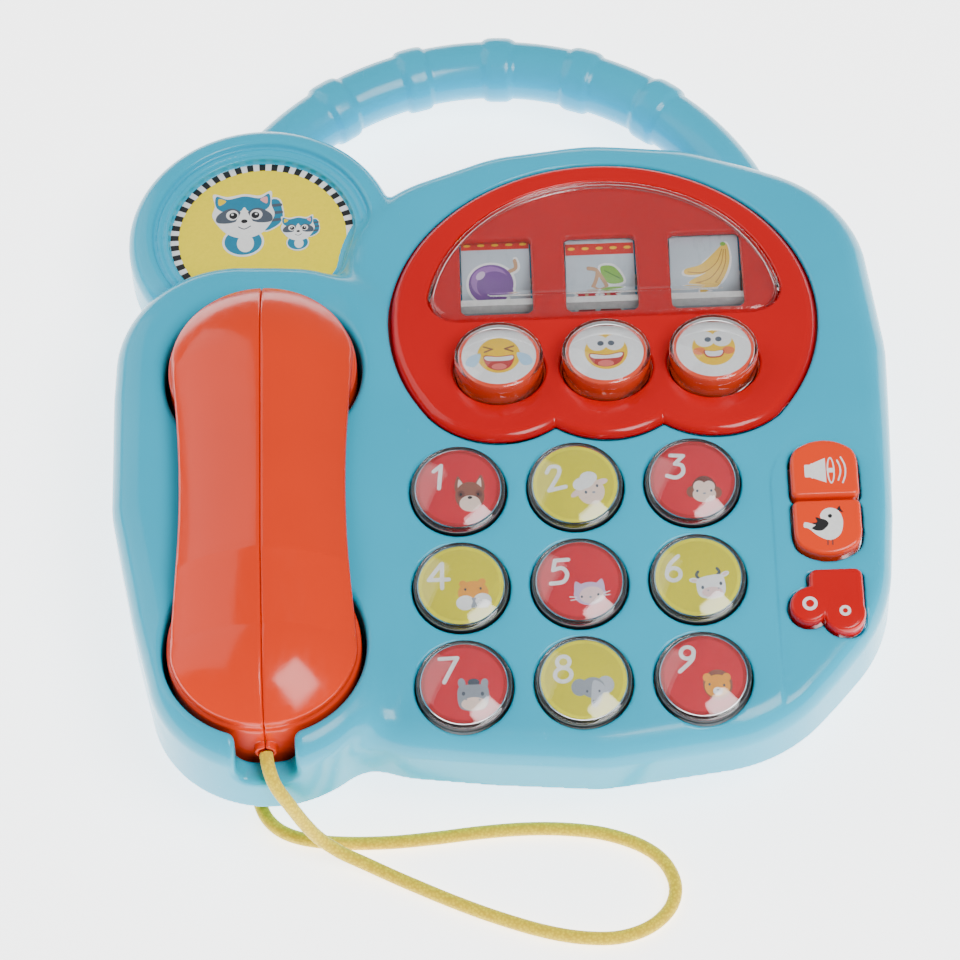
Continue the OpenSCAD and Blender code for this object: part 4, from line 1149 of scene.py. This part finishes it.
REEL_R = 17.5
AXLE = (84.0, -21.5)
FRONT_ANGLE = 30.0    # how far the middle of the picture is turned down towards the front


def on_reel(x, y, z):
    a = math.radians(FRONT_ANGLE) - y / REEL_R
    r = REEL_R + z
    return x, AXLE[0] - r * math.sin(a), AXLE[1] + r * math.cos(a)


def square(x0, y0, x1, y1):
    return [(x0, y0), (x1, y0), (x1, y1), (x0, y1)]


def band(low, high):
    yield ("band_red", square(-10.9, low, 10.9, high))
    for i in range(5):
        yield ("smile_yellow", oval(-9 + 4.5 * i, (low + high) / 2 + 0.2, 1.15, 0.62))


def outlined(ink, outline, grow=0.8):
    """A white edge round a printed shape, then the shape."""
    cx = sum(p[0] for p in outline) / len(outline)
    cy = sum(p[1] for p in outline) / len(outline)
    wide = []
    for x, y in outline:
        d = math.hypot(x - cx, y - cy)
        wide.append((cx + (x - cx) * (d + grow) / d, cy + (y - cy) * (d + grow) / d))
    return [("white", wide)], [(ink, outline)]


def fruit(*parts):
    edges, fills = [], []
    for ink, outline in parts:
        edge, fill = outlined(ink, outline)
        edges += edge
        fills += fill
    return edges + fills


PLUM = fruit(("tan", stroke([(4.2, 1.4), (6.4, 2.6), (6.2, 5.2)], 1.2)),
    ("plum", oval(-1.6, -2.4, 7.2, 6.4)),
             ("plum", blob([(-5.2, -8.4), (1.2, -8.4), (0.4, -6), (-4.4, -6)])))
PLUM += [("plum_light", oval(-2.0, -1.6, 6.0, 5.0)), ("plum", oval(-0.6, -2.9, 5.6, 4.6)),
    ("lilac", oval(-4.9, 0.4, 1.7, 1.1, 40))]
CHERRIES = fruit(("cherry", oval(-4.6, -9.6, 3.9, 3.6)), ("cherry", oval(3.0, -10.2, 3.9, 3.6)),
                 ("leaf", blob([(0.2, 2.0), (4.4, 1.8), (7.4, -2.8), (3.2, -3.6), (0.8, -1.6)])))
CHERRIES += [("tan", stroke([(-4.6, -6.8), (-2.0, -3.6), (-1.0, 0.6), (-3.8, 1.6)], 1.2)),
             ("tan", stroke([(2.4, -7.4), (1.8, -4.0), (-1.0, 0.6)], 1.2)),
                 ("leaf_dark", stroke([(1.4, 0.6), (6.2, -2.0)], 0.3))]
BANANAS = fruit(("banana", blob([(6.0, 8.6), (7.6, 8.4), (8.0, 2.0), (5.0, -4.4), (-0.6, -7.6),
    (-1.6, -6.2), (2.4, -2.4), (5.2, 3.2)])),
                ("banana", blob([(5.6, 8.2), (6.8, 8.4), (6.0, 1.2), (2.0, -3.8), (-4.4, -5.2),
                    (-4.8, -3.6), (0.8, -0.8), (4.4, 4.2)])),
                ("banana", blob([(5.4, 8.0), (6.4, 8.2), (4.2, 1.8), (-0.4, -1.4), (-6.0, -1.6),
                    (-6.2, 0.2), (-1.2, 1.6), (3.0, 5.4)])))
BANANAS += [("banana_edge", stroke([(6.3, 6.6), (5.2, 1.4), (1.6, -3.0), (-3.6, -4.4)], 0.3)),
            ("banana_edge", stroke([(5.8, 6.8), (3.8, 2.0), (-0.4, -1.0), (-5.4, -0.8)], 0.3)),
            ("banana_edge", stroke([(6.9, 6.6), (6.6, 1.6), (3.8, -3.8), (-0.6, -6.6)], 0.3)),
                ("leaf", oval(6.2, 8.9, 0.9, 0.8))]
REELS = {1: list(band(10.0, 14.0)) + PLUM, 2: list(band(6.4, 11.2)) + CHERRIES, 3: BANANAS}
for n in (1, 2, 3):
    place = DISPLAY @ Matrix.Translation(Vector((SPIN_AT[n][0], 0, 0)) * MM)
    picture(f"reel_print_{n}", place, REELS[n], 0.0, f"reel_drum_{n}", step=0.015,
        bend=on_reel)

# ---------- mode key icons ----------

KEY_FACE = 2.4
SPEAKER = [("white", blob([(-9.6, 2.0), (-9.2, 2.6), (-7.6, 2.6), (-6.6, 2.9), (-6.6, -2.9), (-7.6, -2.6),
    (-9.2, -2.6), (-9.6, -2.0)])),
           ("white", [(-7.4, -2.7), (-1.7, -5.0), (-1.7, 5.2), (-7.4, 2.7)]),
           ("white", oval(0.2, 0, 1.5, 5.5), oval(0.2, 0, 0.9, 4.8)),
               ("white", square(-1.0, -0.9, 1.2, 0.9)),
           ("white", stroke([(2.8, 4.0), (3.6, 1.8), (3.8, 0), (3.6, -1.8), (2.8, -4.2)], 0.6)),
           ("white", stroke([(4.2, 5.3), (5.4, 2.4), (5.7, 0), (5.4, -2.6), (4.4, -5.3)], 0.6))]
BIRD = [("dark_brown", stroke([(0.6, -5.2), (0.5, -7.4)], 0.5)),
    ("dark_brown", stroke([(2.3, -5.2), (2.2, -7.4)], 0.5)),
        ("white", blob([(-1.2, 1.8), (-1.6, 4.2), (-0.2, 6.3), (2.2, 7.0), (4.8, 6.0), (6.2, 3.2),
            (6.3, 0.0), (5.2, -3.4), (2.8, -5.3),
                        (0.2, -5.4), (-3.0, -3.6), (-5.8, -1.0), (-7.6, -0.2), (-7.2, 1.6), (-5.2, 1.2),
                            (-3.4, 0.6)])),
        ("black", blob([(-4.8, -0.8), (-3.0, -1.8), (-0.8, -1.6), (1.2, 0.6), (0.4, 2.2), (-1.8, 3.0),
            (-3.2, 3.4), (-2.8, 1.6),
                        (-4.6, 1.2), (-3.4, 0.4)])),
        ("black", oval(1.9, 3.8, 0.75)), ("black", blob([(4.6, 6.4), (5.6, 7.6), (5.8, 6.4), (6.6, 5.2),
            (5.4, 5.6)]))]
AT_SOUND = KEYPAD @ Matrix.Translation(Vector((78.3, 34.2, 0)) * MM)
AT_BIRD = KEYPAD @ Matrix.Translation(Vector((75.6, 15.4, 0)) * MM)
picture("sound_print", AT_SOUND, [(i, *[moved(l, 0, 0, 0.82) for l in loops]) for i, *loops in SPEAKER],
    KEY_FACE,
        "sound_button", step=0.02)
picture("bird_print", AT_BIRD, [(i, *[moved(l, 0, 0, 0.86) for l in loops]) for i, *loops in BIRD],
    KEY_FACE,
        "bird_button", step=0.02)
for name, x, y, r, top in (("front", 69.3, -10.6, 2.3, 2.86), ("rear", 79.8, -13.4, 1.75, 2.96)):
    spot = KEYPAD @ Matrix.Translation(Vector((x, y, 0)) * MM)
    picture(f"car_wheel_{name}", spot, [("white", oval(0, 0, r, steps=48),
        oval(0, 0, r * 0.45, steps=24))], top - 0.2,
            "car_button", step=0.16)

# ---------- ear label ----------

EAR_PLACE = LEVEL @ Matrix.Translation(Vector((EAR[0], EAR[1], 0)) * MM)


def beyond_lobe(x, y, margin=0.0):
    """Above zero where the ear is hidden by the lobe or by the display side."""
    ax, ay = x + EAR[0], y + EAR[1]
    lobe = hull_of(np.array([ax]), np.array([ay]), LOBE_CORNERS)[0]
    side = math.hypot(ax + 30, ay - 127.2) - 41.2
    return min(lobe, side) > margin


def dashes():
    count, outer, inner = 45, 29.8, 27.2
    for i in range(count):
        a0, a1 = 2 * math.pi * i / count, 2 * math.pi * (i + 0.5) / count
        corners = [(r * math.cos(a), r * math.sin(a)) for a in (a0, a1) for r in (inner, outer)]
        if all(beyond_lobe(x, y, 0.3) for x, y in corners):
            yield ("black", [corners[0], corners[1], corners[3], corners[2]])


def inside_label(radius, steps=180):
    """The round label's outline, drawn in where the lobe and the display side cover it."""
    outline = []
    for i in range(steps):
        a = 2 * math.pi * i / steps
        r = radius
        while r > 8 and not beyond_lobe(r * math.cos(a), r * math.sin(a), -0.6):
            r -= 0.2
        outline.append((r * math.cos(a), r * math.sin(a)))
    return outline


def critter():
    """A plain masked animal with a striped tail beside it, facing front."""
    yield ("white", oval(-0.4, -11.5, 7.4, 6.4))
    yield ("teal", oval(-0.4, -11.5, 6.6, 5.6))
    yield ("white", oval(0.4, -12.2, 3.0, 3.8))
    tail = stroke([(7.6, -4.6), (11.2, -1.6), (10.6, 4.6)], 4.6)
    yield ("white", stroke([(7.6, -4.6), (11.2, -1.6), (10.6, 4.8)], 5.6))
    yield ("teal", tail)
    for y, x in ((-2.4, 10.4), (0.8, 11.2), (4.0, 10.9)):
        yield ("slate", stroke([(x - 1.9, y - 0.2), (x + 1.9, y + 0.2)], 1.3))
    yield ("white", blob([(-11.2, -0.6), (-10.4, 4.4), (-11.0, 9.6), (-6.0, 8.4), (0, 9.4), (5.4, 8.6),
        (9.6, 10.4), (9.6, 4.6),
                          (10.6, -0.6), (6.4, -7.6), (0, -10.0), (-6.4, -7.6)]))
    yield ("teal", blob([(-9.6, 3.4), (-9.9, 8.6), (-5.8, 7.2), (0, 8.4), (5.4, 7.4), (8.8, 9.2),
        (8.8, 3.6), (4, 0.6), (0, 2.6),
                         (-4, 0.6)]))
    yield ("yellow", blob([(-8.9, 4.6), (-9.0, 7.6), (-6.4, 6.4)]))
    yield ("pink", blob([(8.0, 5.0), (8.0, 8.0), (5.6, 6.8)]))
    for side in (-1, 1):
        yield ("slate", blob([(side * 1.4, 1.6), (side * 5.0, 3.2), (side * 9.4, 0.4), (side * 9.6, -2.8),
            (side * 5.0, -3.2),
                              (side * 1.8, -1.6)]))
        yield ("white", oval(side * 4.2, 0.2, 2.2, 2.2))
        yield ("black", oval(side * 3.9, 0.0, 1.45, 1.45))
        yield ("white", oval(side * 4.2, 0.5, 0.45, 0.45))
    yield ("white", blob([(0, 3.6), (1.6, 0.4), (3.2, -3.4), (3.0, -6.6), (0, -8.0), (-3.0, -6.6),
        (-3.2, -3.4), (-1.6, 0.4)]))
    yield ("black", oval(0, -2.6, 1.15, 0.85))
    yield ("slate", stroke([(-2.0, -5.0), (0, -6.0), (2.2, -4.8)], 0.4))


ear_layers = [("white", inside_label(LABEL_R - 0.1)), ("print_yellow", inside_label(27.2))] + list(dashes())
for cx, cy, size in ((-5.9, 9.1, 0.92), (11.6, 3.2, 0.5)):
    for ink, *loops in critter():
        ear_layers.append((ink, *[moved(loop, cx, cy, size) for loop in loops]))
label = picture("ear_print", EAR_PLACE, ear_layers, LABEL_Z + 0.02, "base", step=0.006)
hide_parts("ear_label")

# ---------- everything else that the frame holds ----------

INNER = {
    "reel_frame": white_plastic, "reel_axle": steel, "frame_screws": steel, "key_membrane": dome_rubber,
    "main_board": board_green, "board_parts": black_plastic, "board_screws": steel,
    "power_switch": black_plastic, "power_knob": black_plastic, "speaker_frame": steel,
    "speaker_cone": black_plastic, "battery_contacts": steel, "batteries": cell_jacket, "wires": wire_red,
    "housing_screws": steel, "battery_door_screw": steel, "battery_door": sky_plastic,
    "base_knot": yellow_braid, "handset_knot": yellow_braid,
}
for name, material in INNER.items():
    paint(nodes[name], material)

# ---------- floor and light ----------

def pale_floor():
    n = Nodes("pale_floor")
    n.link(n.blend(n.noise(30, 3), (0.3, (0.97, 0.97, 0.97)), (0.7, (1.0, 1.0, 1.0))),
           n.shader.inputs["Base Color"])
    n.shader.inputs["Roughness"].default_value = 0.9
    n.shader.inputs["Specular IOR Level"].default_value = 0.1
    n.shader.inputs["Emission Color"].default_value = (1, 1, 1, 1)
    n.shader.inputs["Emission Strength"].default_value = 3.0
    return n.material


FLOOR = 3.0
floor_mesh = bpy.data.meshes.new("floor")
floor_mesh.from_pydata([(-FLOOR, -FLOOR, 0), (FLOOR, -FLOOR, 0), (FLOOR, FLOOR, 0), (-FLOOR, FLOOR, 0)], [],
                       [(0, 1, 2, 3)])
floor = bpy.data.objects.new("floor", floor_mesh)
floor.location.z = -0.0002
bpy.context.scene.collection.objects.link(floor)
paint(floor, pale_floor())


def lamp(name, at, target, size, power, colour=(1, 1, 1)):
    """A soft rectangular lamp, sized in metres, that faces its target."""
    data = bpy.data.lights.new(name, "AREA")
    data.shape = "RECTANGLE"
    data.size, data.size_y = size
    data.energy = power
    data.color = colour
    piece = bpy.data.objects.new(name, data)
    aim = (Vector(target) - Vector(at)).to_track_quat("-Z", "Y")
    piece.matrix_world = Matrix.Translation(Vector(at)) @ aim.to_matrix().to_4x4()
    bpy.context.scene.collection.objects.link(piece)
    return piece


lamp("lamp_key", (0.62, -0.6, 1.4), (0, 0, 0), (0.8, 0.8), 25)
lamp("lamp_fill", (-1.35, 0.8, 1.2), (0, 0, 0), (1.9, 1.9), 18)

world = bpy.data.worlds.new("studio")
bpy.context.scene.world = world
world.use_nodes = True
world.node_tree.nodes["Background"].inputs["Color"].default_value = (1, 1, 1, 1)
world.node_tree.nodes["Background"].inputs["Strength"].default_value = 0.4
